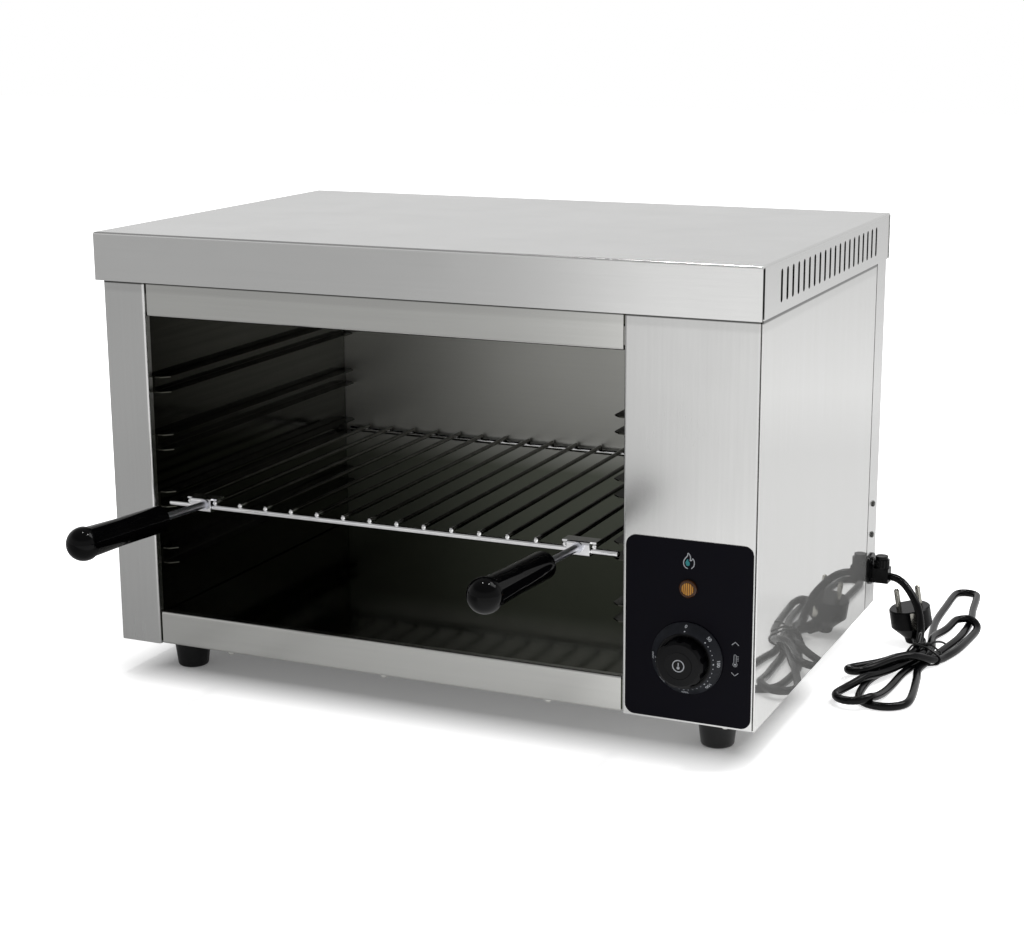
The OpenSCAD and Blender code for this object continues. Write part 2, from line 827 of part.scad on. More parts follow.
// Stem, chamfered rim, and a lens face set off from the rim by a groove
module lamp_lens() {
    rim_r = lamp_d / 2 - lamp_rim;
    color("orange") on_plate(z_lamp) {
        translate([0, 0, -plate_t - sheet]) cylinder(d = lamp_stem_d, h = plate_t + sheet);
        rotate_extrude() polygon([[0, 0], [lamp_d / 2, 0], [lamp_d / 2, lamp_head - lamp_edge],
                                  [lamp_d / 2 - lamp_edge, lamp_head], [rim_r, lamp_head],
                                  [rim_r, lamp_head - lamp_groove_h],
                                  [rim_r - lamp_groove, lamp_head - lamp_groove_h],
                                  [rim_r - lamp_groove, lamp_head], [0, lamp_head]]);
    }
}

module lamp_holder() {
    color("white") on_plate(z_lamp) translate([0, 0, -plate_t - sheet]) {
        translate([0, 0, -lamp_flange_t]) cylinder(d = lamp_flange_d, h = lamp_flange_t);
        translate([0, 0, -lamp_body_len])
            cylinder(d = lamp_stem_d, h = lamp_body_len - lamp_flange_t);
        for (s = [-1, 1])
            translate([s * lamp_tab_out - lamp_tab[0] / 2, -lamp_tab[1] / 2,
                       -lamp_body_len - lamp_tab[2]])
                cube(lamp_tab);
    }
}

// Fluted grip with a chamfered front edge and a round seat for its cap
module dial_grip(r) {
    difference() {
        rotate_extrude() polygon([[0, dial_floor - skirt_wall], [r, dial_floor - skirt_wall],
            [r, dial_tall - 2.5], [r - 2.5, dial_tall - 0.6],
            [cap_d / 2 + 0.5, dial_tall], [cap_d / 2, dial_tall - 0.2],
            [cap_d / 2, dial_tall - cap_t], [0, dial_tall - cap_t]]);
        for (i = [0:flutes - 1]) rotate((i + 0.5) * 360 / flutes)
            translate([r + flute_d / 2 - flute_in, 0, dial_floor])
                cylinder(d = flute_d, h = dial_tall);
    }
}

// Conical skirt with the grip in its recess, and a bored boss behind
module dial_knob() {
    recess_r = recess_d / 2 - recess_edge;
    skirt_outer = [[dial_d / 2, dial_gap], [dial_d / 2, dial_gap + skirt_rim],
                   [skirt_top_d / 2, skirt_h], [recess_r, skirt_h]];
    skirt_inner = [[skirt_top_d / 2 - 2.4 * skirt_wall, dial_floor - skirt_wall],
                   [skirt_top_d / 2 - skirt_wall, dial_floor - skirt_wall],
                   [dial_d / 2 - skirt_wall, dial_gap]];
    color([0.08, 0.08, 0.09]) on_plate(z_dial) difference() {
        union() {
            rotate_extrude() polygon(concat(skirt_outer, [[recess_r, dial_floor],
                [boss_d / 2, dial_floor], [boss_d / 2, dial_floor - skirt_wall]], skirt_inner));
            dial_grip(dial_grip_d / 2);
            translate([0, 0, dial_gap]) cylinder(d = boss_d, h = dial_floor);
        }
        translate([0, 0, -cut]) cylinder(d = shaft_d + 2 * shaft_gap, h = shaft_in + cut);
    }
}

module dial_cap() {
    color([0.1, 0.1, 0.11]) on_plate(z_dial) translate([0, 0, dial_tall - cap_t])
        cylinder(d = cap_d - 2 * shaft_gap, h = cap_t);
}

module thermostat_body() {
    color("ivory") difference() {
        union() {
            translate([x_dial - thermo_w / 2, y_front + sheet, z_dial - thermo_h / 2])
                cube([thermo_w, thermo_d, thermo_h]);
            rod_y([x_dial, y_plate + dial_gap, z_dial], bush_d, plate_t + sheet);
        }
        rod_y([x_dial, y_plate - cut, z_dial], shaft_d + 2 * shaft_gap, thermo_d / 2);
        for (s = [-1, 1])
            rod_y([x_dial + s * screw_span / 2, y_front, z_dial], m4_d + 2 * shaft_gap, 10 + sheet);
    }
}

module thermostat_shaft() {
    color("silver") rod_y([x_dial, y_plate - shaft_in + 0.5, z_dial], shaft_d,
                          shaft_in + plate_t + thermo_d / 2 - 3);
}

module thermostat_screws() {
    color("silver") for (s = [-1, 1]) translate([x_dial + s * screw_span / 2, 0, z_dial]) {
        rod_y([0, y_plate, 0], m4_d, plate_t + sheet + 8);
        rod_y([0, y_plate - m4_head_h, 0], m4_head_d, m4_head_h);
    }
}

// The bulb lies under the ceiling; its capillary leaves through the wall down to the body
module thermostat_bulb() {
    x_bulb = x_oven_r - bulb_in;
    x_out = x_oven_r + capillary_out;
    z_turn = z_dial + capillary_rise;
    z_end = z_dial + thermo_h / 2 + wire_ball * capillary_d / 2 + touch;
    y_body = y_front + sheet + thermo_d / 2;
    points = [[x_bulb, bulb_y, bulb_z], [x_out, bulb_y, bulb_z], [x_out, bulb_y, z_turn],
              [x_dial, y_body, z_turn], [x_dial, y_body, z_end]];
    color("peru") {
        rod_y([x_bulb, bulb_y - bulb_len / 2, bulb_z], bulb_d, bulb_len);
        block([x_bulb - bulb_d / 2, bulb_y - bulb_len / 4, bulb_z],
              [x_bulb + bulb_d / 2, bulb_y - bulb_len / 4 + clip_t, z_ceiling]);
        for (i = [0:len(points) - 2]) wire(points[i], points[i + 1], capillary_d);
    }
}

// A round wire between two points with a ball on its far end
module wire(p, q, d) {
    v = q - p;
    translate(p) rotate([0, acos(v[2] / norm(v)), atan2(v[1], v[0])])
        cylinder(d = d, h = norm(v), $fn = 24);
    translate(q) sphere(d = wire_ball * d, $fn = 24);
}

// ---- Heating elements ----

// A hairpin tube with its bend to the left and a bush on each leg against the right wall
module heater(y0) {
    x_bend = x_oven_l + heater_left + heater_gap / 2;
    x_end = x_oven_r + sheet + heater_out;
    color("slategray") {
        for (y = [y0, y0 + heater_gap]) {
            rod_x([x_bend, y, heater_z], heater_d, x_end - x_bend);
            rod_x([x_oven_r + sheet, y, heater_z], heater_bush_d, heater_bush_t);
        }
        translate([x_bend, y0 + heater_gap / 2, heater_z]) rotate([0, 0, 90])
            rotate_extrude(angle = 180) translate([heater_gap / 2, 0]) circle(d = heater_d);
    }
}

// Strips under the ceiling that hold the elements' legs
module heater_hangers() {
    y0 = heater_y[0] - hanger_over;
    y1 = heater_y[1] + heater_gap + hanger_over;
    color("silver") for (x = hanger_x) difference() {
        block([x, y0, heater_z - heater_d / 2 - hanger_under], [x + hanger_t, y1, z_ceiling]);
        for (y = heater_y, s = [0, 1])
            rod_x([x - cut, y + s * heater_gap, heater_z], heater_d + 2 * heater_hole_gap,
                  hanger_t + 2 * cut);
    }
}

module heater_terminals() {
    x = x_oven_r + sheet + heater_out;
    color("gold") for (y = heater_y, s = [0, 1]) translate([x, y + s * heater_gap, heater_z]) {
        rod_x([0, 0, 0], terminal_d, terminal_out);
        rod_x([terminal_out / 2, 0, 0], terminal_nut_d, terminal_nut_t);
    }
}

// ---- Insulation and electrics ----

module insulation_top() {
    fold = sheet + bend_r;
    color("khaki") block([x_oven_l + sheet, y_rail + sheet + fold, z_ceiling + sheet],
                         [x_oven_r - sheet, y_oven - fold, z_ceiling + sheet + wool_top_t]);
}

module insulation_back() {
    color("khaki") block([x_oven_l, y_oven + sheet, z_pan_top],
                         [x_oven_r, y_rear - sheet - touch, z_liner]);
}

module insulation_left() {
    color("khaki") block([x_oven_l - sheet - wool_left_t, y_return + touch, z_pan_top + foot_clear_h],
                         [x_oven_l - sheet, y_oven - sheet, z_liner]);
}

module terminal_block() {
    color("white") difference() {
        block([block_x - block_w / 2, block_y - block_l / 2, z_pan_top],
              [block_x + block_w / 2, block_y + block_l / 2, z_pan_top + block_h]);
        for (i = [-1:1])
            rod_x([block_x - block_w / 2 - cut, block_y + i * block_l / 3, z_pan_top + block_h / 2],
                  core_d + 2 * hole_gap, block_w + 2 * cut);
    }
}

// The cord's three cores, and the leads to the thermostat and the heaters
module wiring() {
    z = z_pan_top + block_h / 2;
    x_fan = x_sheath - core_fan;
    x_in = block_x + block_w / 2 - core_in;
    x_out = block_x - block_w / 2 + core_in;
    x_rise = [x_out - lead_side[0], x_out - lead_side[1]];
    x_term = x_oven_r + sheet + heater_out + terminal_out;
    y_dial = y_front + sheet + thermo_d - lead_deep;
    y_side = block_y - block_l / 3;
    y_leg = heater_y[0] + heater_gap;
    end_gap = wire_ball * core_d / 2 + touch;
    z_dial_top = z_dial + thermo_h / 2 + end_gap;
    z_high = z_dial_top + lead_high;
    z_term = heater_z - terminal_d / 2 - end_gap;
    z_turn = heater_z - lead_drop_z[0];
    color("saddlebrown") {
        for (i = [-1:1])
            run_wire([[x_sheath - touch, y_gland + i * core_pitch, z_cord],
                      [x_sheath - core_straight, y_gland + i * core_pitch, z_cord],
                      [x_fan, y_gland + i * core_pitch, z],
                      [x_fan, block_y + i * block_l / 3, z], [x_in, block_y + i * block_l / 3, z]]);
        run_wire([[x_out, block_y, z], [x_rise[0], block_y, z], [x_rise[0], block_y, z_high],
                  [x_dial - lead_out, y_dial, z_high], [x_dial - lead_out, y_dial, z_dial_top]]);
        run_wire([[x_out, y_side, z], [x_rise[1], y_side, z], [x_rise[1], y_side, z_turn],
                  [x_term, heater_y[1], z_turn], [x_term, heater_y[1], z_term]]);
        run_wire([[x_term, y_leg, z_term], [x_term, y_leg, heater_z - lead_drop_z[1]],
                  [x_dial + lead_out, y_dial, z_high], [x_dial + lead_out, y_dial, z_dial_top]]);
    }
}

module run_wire(points) {
    for (i = [0:len(points) - 2]) wire(points[i], points[i + 1], core_d);
}

module earth_stud() {
    color("gold") translate([stud_x, block_y, z_pan_top]) {
        translate([0, 0, -sheet]) cylinder(d = stud_d, h = stud_h + sheet);
        cylinder(d = 1.8 * stud_d, h = nut_h, $fn = 6);
    }
}

// ---- Gland, feet and screws ----

module gland_body() {
    color([0.05, 0.05, 0.05]) difference() {
        union() {
            rod_x([x_right, y_gland, gland_flange_z], gland_flange_d, gland_flange_t);
            rod_x([x_right, y_gland, gland_flange_z], gland_neck_d, gland_neck_l);
            block([x_right + gland_flange_t, y_gland - gland_w / 2, z_cord - gland_low],
                  [gland_face, y_gland + gland_w / 2, z_cord + gland_up]);
            rod_x([x_right - gland_thread_l, y_gland, z_cord], gland_thread_d, gland_thread_l + cut);
        }
        rod_x([x_right - gland_thread_l - cut, y_gland, z_cord], cord_d + 2 * shaft_gap,
              gland_thread_l + gland_l + 2 * cut);
        translate([x_right + clamp_x, y_gland, z_cord + cord_d / 2])
            cylinder(d = clamp_neck_d + 2 * shaft_gap, h = gland_up);
    }
}

module gland_nut() {
    color([0.05, 0.05, 0.05]) difference() {
        translate([x_right - sheet - gland_nut_t, y_gland, z_cord]) rotate([0, 90, 0])
            cylinder(d = gland_nut_d, h = gland_nut_t, $fn = 6);
        rod_x([x_right - sheet - gland_nut_t - cut, y_gland, z_cord],
              gland_thread_d + 2 * shaft_gap, gland_nut_t + 2 * cut);
    }
}

// Shank that bears on the cord, a ribbed collar on the body and a slotted cap
module gland_clamp() {
    cap_z = gland_up + clamp_rise;
    top_z = cap_z + clamp_cap_h;
    color([0.07, 0.07, 0.07]) translate([x_right + clamp_x, y_gland, z_cord]) difference() {
        union() {
            translate([0, 0, cord_d / 2]) cylinder(d = clamp_neck_d, h = gland_up - cord_d / 2);
            translate([0, 0, gland_up]) cylinder(d = clamp_d, h = clamp_rise);
            translate([0, 0, cap_z]) cylinder(d = clamp_cap_d, h = clamp_cap_h);
        }
        for (i = [0:clamp_ribs - 1]) rotate(i * 360 / clamp_ribs)
            translate([clamp_d / 2, 0, gland_up + clamp_slot[0]])
                cylinder(d = clamp_rib_cut, h = clamp_rise);
        rod_x([-clamp_d, 0, 0], cord_d + 2 * shaft_gap, 2 * clamp_d);
        translate([-clamp_d, -clamp_slot[0] / 2, top_z - clamp_slot[1]])
            cube([2 * clamp_d, clamp_slot[0], clamp_slot[1] + cut]);
    }
}

module feet() {
    h = z_pan;
    lip = 2;
    color([0.05, 0.05, 0.05]) for (sx = [-1, 1], sy = [-1, 1])
        translate([sx * foot_x, y_mid + sy * foot_y, 0]) difference() {
            rotate_extrude() polygon([[0, 0], [foot_base_d / 2 - lip, 0], [foot_base_d / 2 - 0.6, 0.7],
                                      [foot_base_d / 2, lip], [foot_top_d / 2, h], [0, h]]);
            translate([0, 0, -cut]) cylinder(d = foot_bore_d, h = h - foot_web + cut);
            cylinder(d = m4_d + 2 * shaft_gap, h = h + cut);
        }
}

module foot_screws() {
    color("silver") for (sx = [-1, 1], sy = [-1, 1])
        translate([sx * foot_x, y_mid + sy * foot_y, z_pan - foot_web]) {
            cylinder(d = m4_d, h = foot_web + sheet + foot_screw_out);
            translate([0, 0, -m4_head_h]) cylinder(d = m4_head_d, h = m4_head_h);
        }
}

// Domed head and shank along local +Z; the head's flat side is at the origin
module pan_screw(head_d, head_h, shank_d, len) {
    cylinder(d = shank_d, h = len);
    mirror([0, 0, 1]) {
        cylinder(d = head_d, h = head_h / 2);
        translate([0, 0, head_h / 2]) cylinder(d1 = head_d, d2 = head_d * 0.6, h = head_h / 2);
    }
}

module base_screws() {
    color("silver") for (x = base_screw_x)
        translate([x, base_screw_y, z_base])
            pan_screw(base_head_d, base_head_h, m4_d, 2 * sheet + base_shank);
}

module panel_screws() {
    color("silver") {
        for (z = strip_screw_z, sx = [-1, 1])
            translate([sx * x_right, strip_screw_y, z]) rotate([0, -sx * 90, 0])
                pan_screw(strip_head_d, strip_head_h, strip_shank_d, strip_screw_len);
        for (sx = [-1, 1])
            translate([sx * lid_screw_x, y_lid_rear, lid_screw_z]) rotate([90, 0, 0])
                pan_screw(strip_head_d, strip_head_h, strip_shank_d, lid_screw_len);
    }
}

// ---- Cord and plug ----

function route_dir(pts, i) = unit(pts[min(i + 1, len(pts) - 1)] - pts[max(i - 1, 0)]);

// Rings of points across a route that leaves along +X; side is kept level
function route_rings(pts, r, n) = [
    for (i = [0:len(pts) - 1])
        let (d = i == 0 ? [1, 0, 0] : route_dir(pts, i))
        let (u = unit(cross(d, [0, 0, 1])), v = cross(u, d))
        [for (k = [0:n - 1]) pts[i] + r * (u * cos(360 * k / n) + v * sin(360 * k / n))]
];

module tube(pts, d, n) {
    rings = route_rings(pts, d / 2, n);
    points = [for (ring = rings, p = ring) p];
    last = (len(pts) - 1) * n;
    walls = [for (i = [0:len(pts) - 2], k = [0:n - 1])
        let (a = i * n + k, b = i * n + (k + 1) % n)
        for (f = [[a, b, b + n], [a, b + n, a + n]]) f];
    start = [for (k = [n - 1:-1:0]) k];
    end = [for (k = [0:n - 1]) last + k];
    polyhedron(points, concat([start, end], walls));
}

module cord_lead() {
    color([0.06, 0.06, 0.06]) difference() {
        tube(lead_points, cord_d, lead_sides);
        along_z(-cut, hank_h) hank_outline();
    }
}

// A tapered strip with round ends from the tie to one end of the loops
module run_outline(p, q, r0, r1) {
    n = unit([p[1] - q[1], q[0] - p[0]]);
    in0 = (r0 - run_inset) * n;
    in1 = (r1 - run_inset) * n;
    translate(p) circle(r = r0);
    translate(q) circle(r = r1);
    polygon([p + in0, p - in0, q - in1, q + in1]);
}

module hank_outline() {
    difference() {
        for (run = hank_runs) run_outline(hank_tie, hank_tie + run[0], hank_waist, run[1]);
        translate([plug_at[0], plug_at[1]]) circle(d = plug_bite_d);
    }
}

module cord_hank() {
    color([0.06, 0.06, 0.06]) along_z(0, hank_h) hank_outline();
}

// Places its children on the plug's axis: local +Z leaves through its face, X runs along its pins
module on_plug() {
    translate(plug_at) rotate(plug_lean_turn) rotate([0, -plug_lean, 0]) children();
}

// Straight plug that stands on its neck against the loops, its pins up
module plug_body() {
    color([0.07, 0.07, 0.07]) difference() {
        union() {
            on_plug() rotate_extrude() polygon([[0, 0], [plug_neck_d / 2 - 1, 0],
                [plug_neck_d / 2, 1], [plug_neck_d / 2 + 1, 6], [plug_d / 2, plug_h - plug_rim_h],
                [plug_d / 2, plug_h - 1], [plug_d / 2 - 1, plug_h], [0, plug_h]]);
            translate([plug_at[0], plug_at[1], plug_tail_z + plug_at[2]]) rotate(plug_tail_turn)
                rod_x([0, 0, 0], plug_tail_d, plug_tail_len);
        }
        on_plug() {
            for (s = [-1, 1]) translate([s * pin_span / 2, 0, plug_h - pin_root])
                cylinder(d = pin_d + 2 * shaft_gap, h = pin_root + cut);
            for (s = [-1, 1]) earth_slot(s);
        }
        along_z(-cut, hank_h) hank_outline();
    }
}

module earth_slot(s) {
    translate([-earth_w / 2, s * plug_d / 2 - earth_t - 0.5, plug_h - plug_rim_h])
        cube([earth_w, 2 * earth_t + 1, plug_rim_h + cut]);
}

module plug_contacts() {
    color("gainsboro") on_plug() {
        for (s = [-1, 1]) translate([s * pin_span / 2, 0, plug_h - pin_root]) {
            cylinder(d = pin_d, h = pin_root + pin_len - pin_d / 2);
            translate([0, 0, pin_root + pin_len - pin_d / 2]) sphere(d = pin_d);
        }
        for (s = [-1, 1])
            translate([-earth_w / 2 + 0.1, s * (plug_d / 2 - earth_t) - earth_t / 2,
                       plug_h - plug_rim_h])
                cube([earth_w - 0.2, earth_t, plug_rim_h - 1]);
    }
}

lid();
left_side();
right_side();
control_fascia();
rear_panel();
base_pan();
top_rail();
bottom_rail();
control_plate();
lamp_lens();
lamp_holder();
dial_knob();
dial_cap();
thermostat_body();
thermostat_shaft();
thermostat_bulb();
thermostat_screws();
liner_left();
liner_right();
liner_back();
liner_floor();
liner_ceiling();
for (i = [1:levels]) {
    rack_rail(-1, i);
    rack_rail(1, i);
}
rack_front_bar();
rack_back_bar();
rack_rods();
handle_bracket(-1);  // handle_bracket_left
handle_bracket(1);  // handle_bracket_right
handle_rod(-1);  // handle_rod_left
handle_rod(1);  // handle_rod_right
grip(-1);  // grip_left
grip(1);  // grip_right
heater(heater_y[0]);  // heater_front
heater(heater_y[1]);  // heater_rear
heater_hangers();
heater_terminals();
insulation_top();
insulation_back();
insulation_left();
terminal_block();
wiring();
earth_stud();
gland_body();
gland_nut();
gland_clamp();
feet();
foot_screws();
base_screws();
panel_screws();
cord_lead();
cord_hank();
plug_body();
plug_contacts();
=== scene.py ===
"""Dressed model of a counter-top cheese melter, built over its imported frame, in metres.

The frame gives every rigid part. This script adds the camera, the mains cord, the printed
marks and the finish of every surface. +Y is the rear of the appliance and +Z is up.
"""

from __future__ import annotations

import logging
import math
from dataclasses import dataclass, field, replace
from enum import Enum
from typing import Any, Iterable, Protocol, Sequence

import bmesh
import bpy
import numpy as np
from mathutils import Matrix, Vector

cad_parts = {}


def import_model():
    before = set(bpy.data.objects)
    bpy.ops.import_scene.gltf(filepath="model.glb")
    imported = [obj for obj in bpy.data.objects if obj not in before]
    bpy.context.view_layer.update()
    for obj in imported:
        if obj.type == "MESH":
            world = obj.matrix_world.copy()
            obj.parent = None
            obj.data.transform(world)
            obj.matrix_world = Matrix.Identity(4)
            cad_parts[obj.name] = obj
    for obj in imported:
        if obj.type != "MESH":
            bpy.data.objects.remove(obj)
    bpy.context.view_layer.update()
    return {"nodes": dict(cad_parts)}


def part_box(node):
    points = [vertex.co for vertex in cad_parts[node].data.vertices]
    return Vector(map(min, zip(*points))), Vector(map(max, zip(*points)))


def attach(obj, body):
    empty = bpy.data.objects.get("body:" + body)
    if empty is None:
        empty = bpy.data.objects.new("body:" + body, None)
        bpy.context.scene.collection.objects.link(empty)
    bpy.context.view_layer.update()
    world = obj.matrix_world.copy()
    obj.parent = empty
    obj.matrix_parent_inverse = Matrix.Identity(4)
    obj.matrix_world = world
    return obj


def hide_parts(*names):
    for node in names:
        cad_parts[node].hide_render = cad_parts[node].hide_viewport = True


LOG = logging.getLogger("cheese_melter")
MM = 0.001
# Noise hardly leaves this span, so it is spread from here to its full range.
NOISE_SPAN = {"From Min": 0.3, "From Max": 0.7}
# A Mix node on colours: its inputs for the share and for the two colours, and its output.
SHARE, UNDER, OVER, MIXED = 0, 6, 7, 2
# A Mix node on plain numbers: its inputs for the two numbers.
FIRST, SECOND = 2, 3


class Body(Enum):
    """Bodies of the record that new pieces ride on."""

    CASING = "casing"
    DIAL = "dial"


class Slot(Enum):
    """Material slots of the record."""

    CONTROL_FILM = "control_film"
    DIAL_PLASTIC = "dial_plastic"
    DIAL_CAP = "dial_cap_plastic"
    CORD = "cord_rubber"


class Axis(Enum):
    """Axes of the part: X to the right, Y to the rear and Z up."""

    X = 0
    Y = 1
    Z = 2


# ---- Shared helpers ----


def link(obj: bpy.types.Object) -> bpy.types.Object:
    """Adds an object to the scene and returns it."""
    bpy.context.scene.collection.objects.link(obj)
    return obj


def linear(code: str) -> tuple[float, float, float, float]:
    """Linear colour of an sRGB hex code such as "#8090a0"."""
    parts = [int(code[k:k + 2], 16) / 255 for k in (1, 3, 5)]
    red, green, blue = (c / 12.92 if c <= 0.04045 else ((c + 0.055) / 1.055) ** 2.4 for c in parts)
    return (red, green, blue, 1.0)


def box_mm(node: str) -> tuple[Vector, Vector]:
    """Lowest and highest corner of a node of the frame, in millimetres."""
    low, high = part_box(node)
    return low / MM, high / MM


def middle_mm(node: str) -> Vector:
    """Middle of a node of the frame, in millimetres."""
    low, high = box_mm(node)
    return (low + high) / 2


def seat(obj: bpy.types.Object, body: Body, material: bpy.types.Material) -> bpy.types.Object:
    """Gives a new piece its material and its body.

    Args:
        obj: the new piece.
        body: the body that it moves with.
        material: the finish that shows.

    Returns:
        The same piece.
    """
    obj.data.materials.clear()
    obj.data.materials.append(material)
    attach(obj, body.value)
    LOG.info("piece %s rides on %s", obj.name, body.value)
    return obj


def smooth_line(points: Sequence[Vector], step: float) -> list[Vector]:
    """Runs a centripetal spline through points and samples it evenly.

    Args:
        points: the points that the line passes through.
        step: about how far apart the samples lie.

    Returns:
        The sampled line, from the first point to the last.
    """
    ends = [points[0] * 2 - points[1], *points, points[-1] * 2 - points[-2]]
    line = [points[0].copy()]
    for a, b, c, d in zip(ends, ends[1:], ends[2:], ends[3:]):
        t1 = (b - a).length ** 0.5
        t2 = t1 + (c - b).length ** 0.5
        t3 = t2 + (d - c).length ** 0.5
        count = max(2, round((c - b).length / step))
        for k in range(1, count + 1):
            t = t1 + (t2 - t1) * k / count
            p, q, r = a.lerp(b, t / t1), b.lerp(c, (t - t1) / (t2 - t1)), c.lerp(d, (t - t2) / (t3 - t2))
            early, late = p.lerp(q, t / t2), q.lerp(r, (t - t1) / (t3 - t1))
            line.append(early.lerp(late, (t - t1) / (t2 - t1)))
    return line


def curve_piece(name: str, points: Iterable[Vector], radius: float, sides: int) -> bpy.types.Object:
    """Makes a round wire along points as one open spline.

    Args:
        name: the piece's name.
        points: the centre line.
        radius: half the wire's diameter.
        sides: how fine its round section is.

    Returns:
        The curve object.
    """
    data = bpy.data.curves.new(name, "CURVE")
    data.dimensions = "3D"
    data.bevel_depth = radius
    data.bevel_resolution = sides
    data.use_fill_caps = True
    spline = data.splines.new("POLY")
    places = list(points)
    spline.points.add(len(places) - 1)
    for target, place in zip(spline.points, places):
        target.co = (*place, 1.0)
    spline.use_smooth = True
    return link(bpy.data.objects.new(name, data))


def mesh_piece(name: str, shape: bmesh.types.BMesh) -> bpy.types.Object:
    """Turns a bmesh, which is freed, into an object of the scene with flat faces."""
    bmesh.ops.recalc_face_normals(shape, faces=shape.faces)
    data = bpy.data.meshes.new(name)
    shape.to_mesh(data)
    shape.free()
    for polygon in data.polygons:
        polygon.use_smooth = False
    return link(bpy.data.objects.new(name, data))


# ---- Finishes ----


@dataclass
class Graph:
    """A material's node tree, the one function that adds nodes to it, and patterns made of several."""

    material: bpy.types.Material | bpy.types.World

    @classmethod
    def new(cls, name: str) -> Graph:
        """Starts an empty material of that name."""
        material = bpy.data.materials.new(name)
        material.use_nodes = True
        material.node_tree.nodes.clear()
        return cls(material)

    def add(self, kind: str, links: dict[str | int, Any] | None = None, out: str | int = 0,
            **settings: Any) -> bpy.types.NodeSocket | None:
        """Adds a node.

        Args:
            kind: the node's type, without the ShaderNode that all of them start with.
            links: what each input takes, either another node's socket or a plain value.
            out: which of its outputs is wanted.
            settings: the node's own settings.

        Returns:
            That output, or None where the node has none.
        """
        node = self.material.node_tree.nodes.new("ShaderNode" + kind)
        for name, value in settings.items():
            setattr(node, name, value)
        for name, value in (links or {}).items():
            if isinstance(value, bpy.types.NodeSocket):
                self.material.node_tree.links.new(value, node.inputs[name])
            else:
                node.inputs[name].default_value = value
        return node.outputs[out] if node.outputs else None

    def pattern(self, size: tuple[float, float, float], detail: float = 2.0) -> bpy.types.NodeSocket:
        """Random pattern whose features are about size millimetres long on each axis of the part."""
        place = self.add("TexCoord", out="Object")
        scaled = self.add("Mapping", {"Vector": place, "Scale": tuple(1.0 / MM / s for s in size)})
        return self.add("TexNoise", {"Vector": scaled, "Scale": 1.0, "Detail": detail})

    def along(self, axis: Axis) -> bpy.types.NodeSocket:
        """Place on one axis of the part, in metres."""
        return self.add("SeparateXYZ", {0: self.add("TexCoord", out="Object")}, axis.value)

    def off_centre(self, centre: tuple[float, float, float]) -> bpy.types.NodeSocket:
        """Way from a centre to a spot in the plane of the front, in millimetres."""
        place = self.add("TexCoord", out="Object")
        away = self.add("VectorMath", {0: place, 1: tuple(c * MM for c in centre)}, operation="SUBTRACT")
        return self.add("VectorMath", {0: away, 1: (1.0 / MM, 0.0, 1.0 / MM)}, operation="MULTIPLY")

    def tone(self, pattern: bpy.types.NodeSocket, shade: str, colour: str) -> bpy.types.NodeSocket:
        """Colour that wanders with a pattern between two sRGB codes."""
        share = self.add("MapRange", {"Value": pattern, **NOISE_SPAN})
        colours = {UNDER: linear(shade), OVER: linear(colour)}
        return self.add("Mix", {SHARE: share, **colours}, MIXED, data_type="RGBA")

    def finish(self, **sockets: Any) -> bpy.types.Material:
        """Ends the material in one surface shader; a key such as Base_Color names its socket."""
        links = {name.replace("_", " "): value for name, value in sockets.items()}
        self.add("OutputMaterial", {"Surface": self.add("BsdfPrincipled", links)})
        return self.material


class Finish(Protocol):
    """What every finish has: the name of its material, and a way to make it."""

    @property
    def name(self) -> str:
        """Name of its material."""

    def build(self) -> bpy.types.Material:
        """Makes its material."""


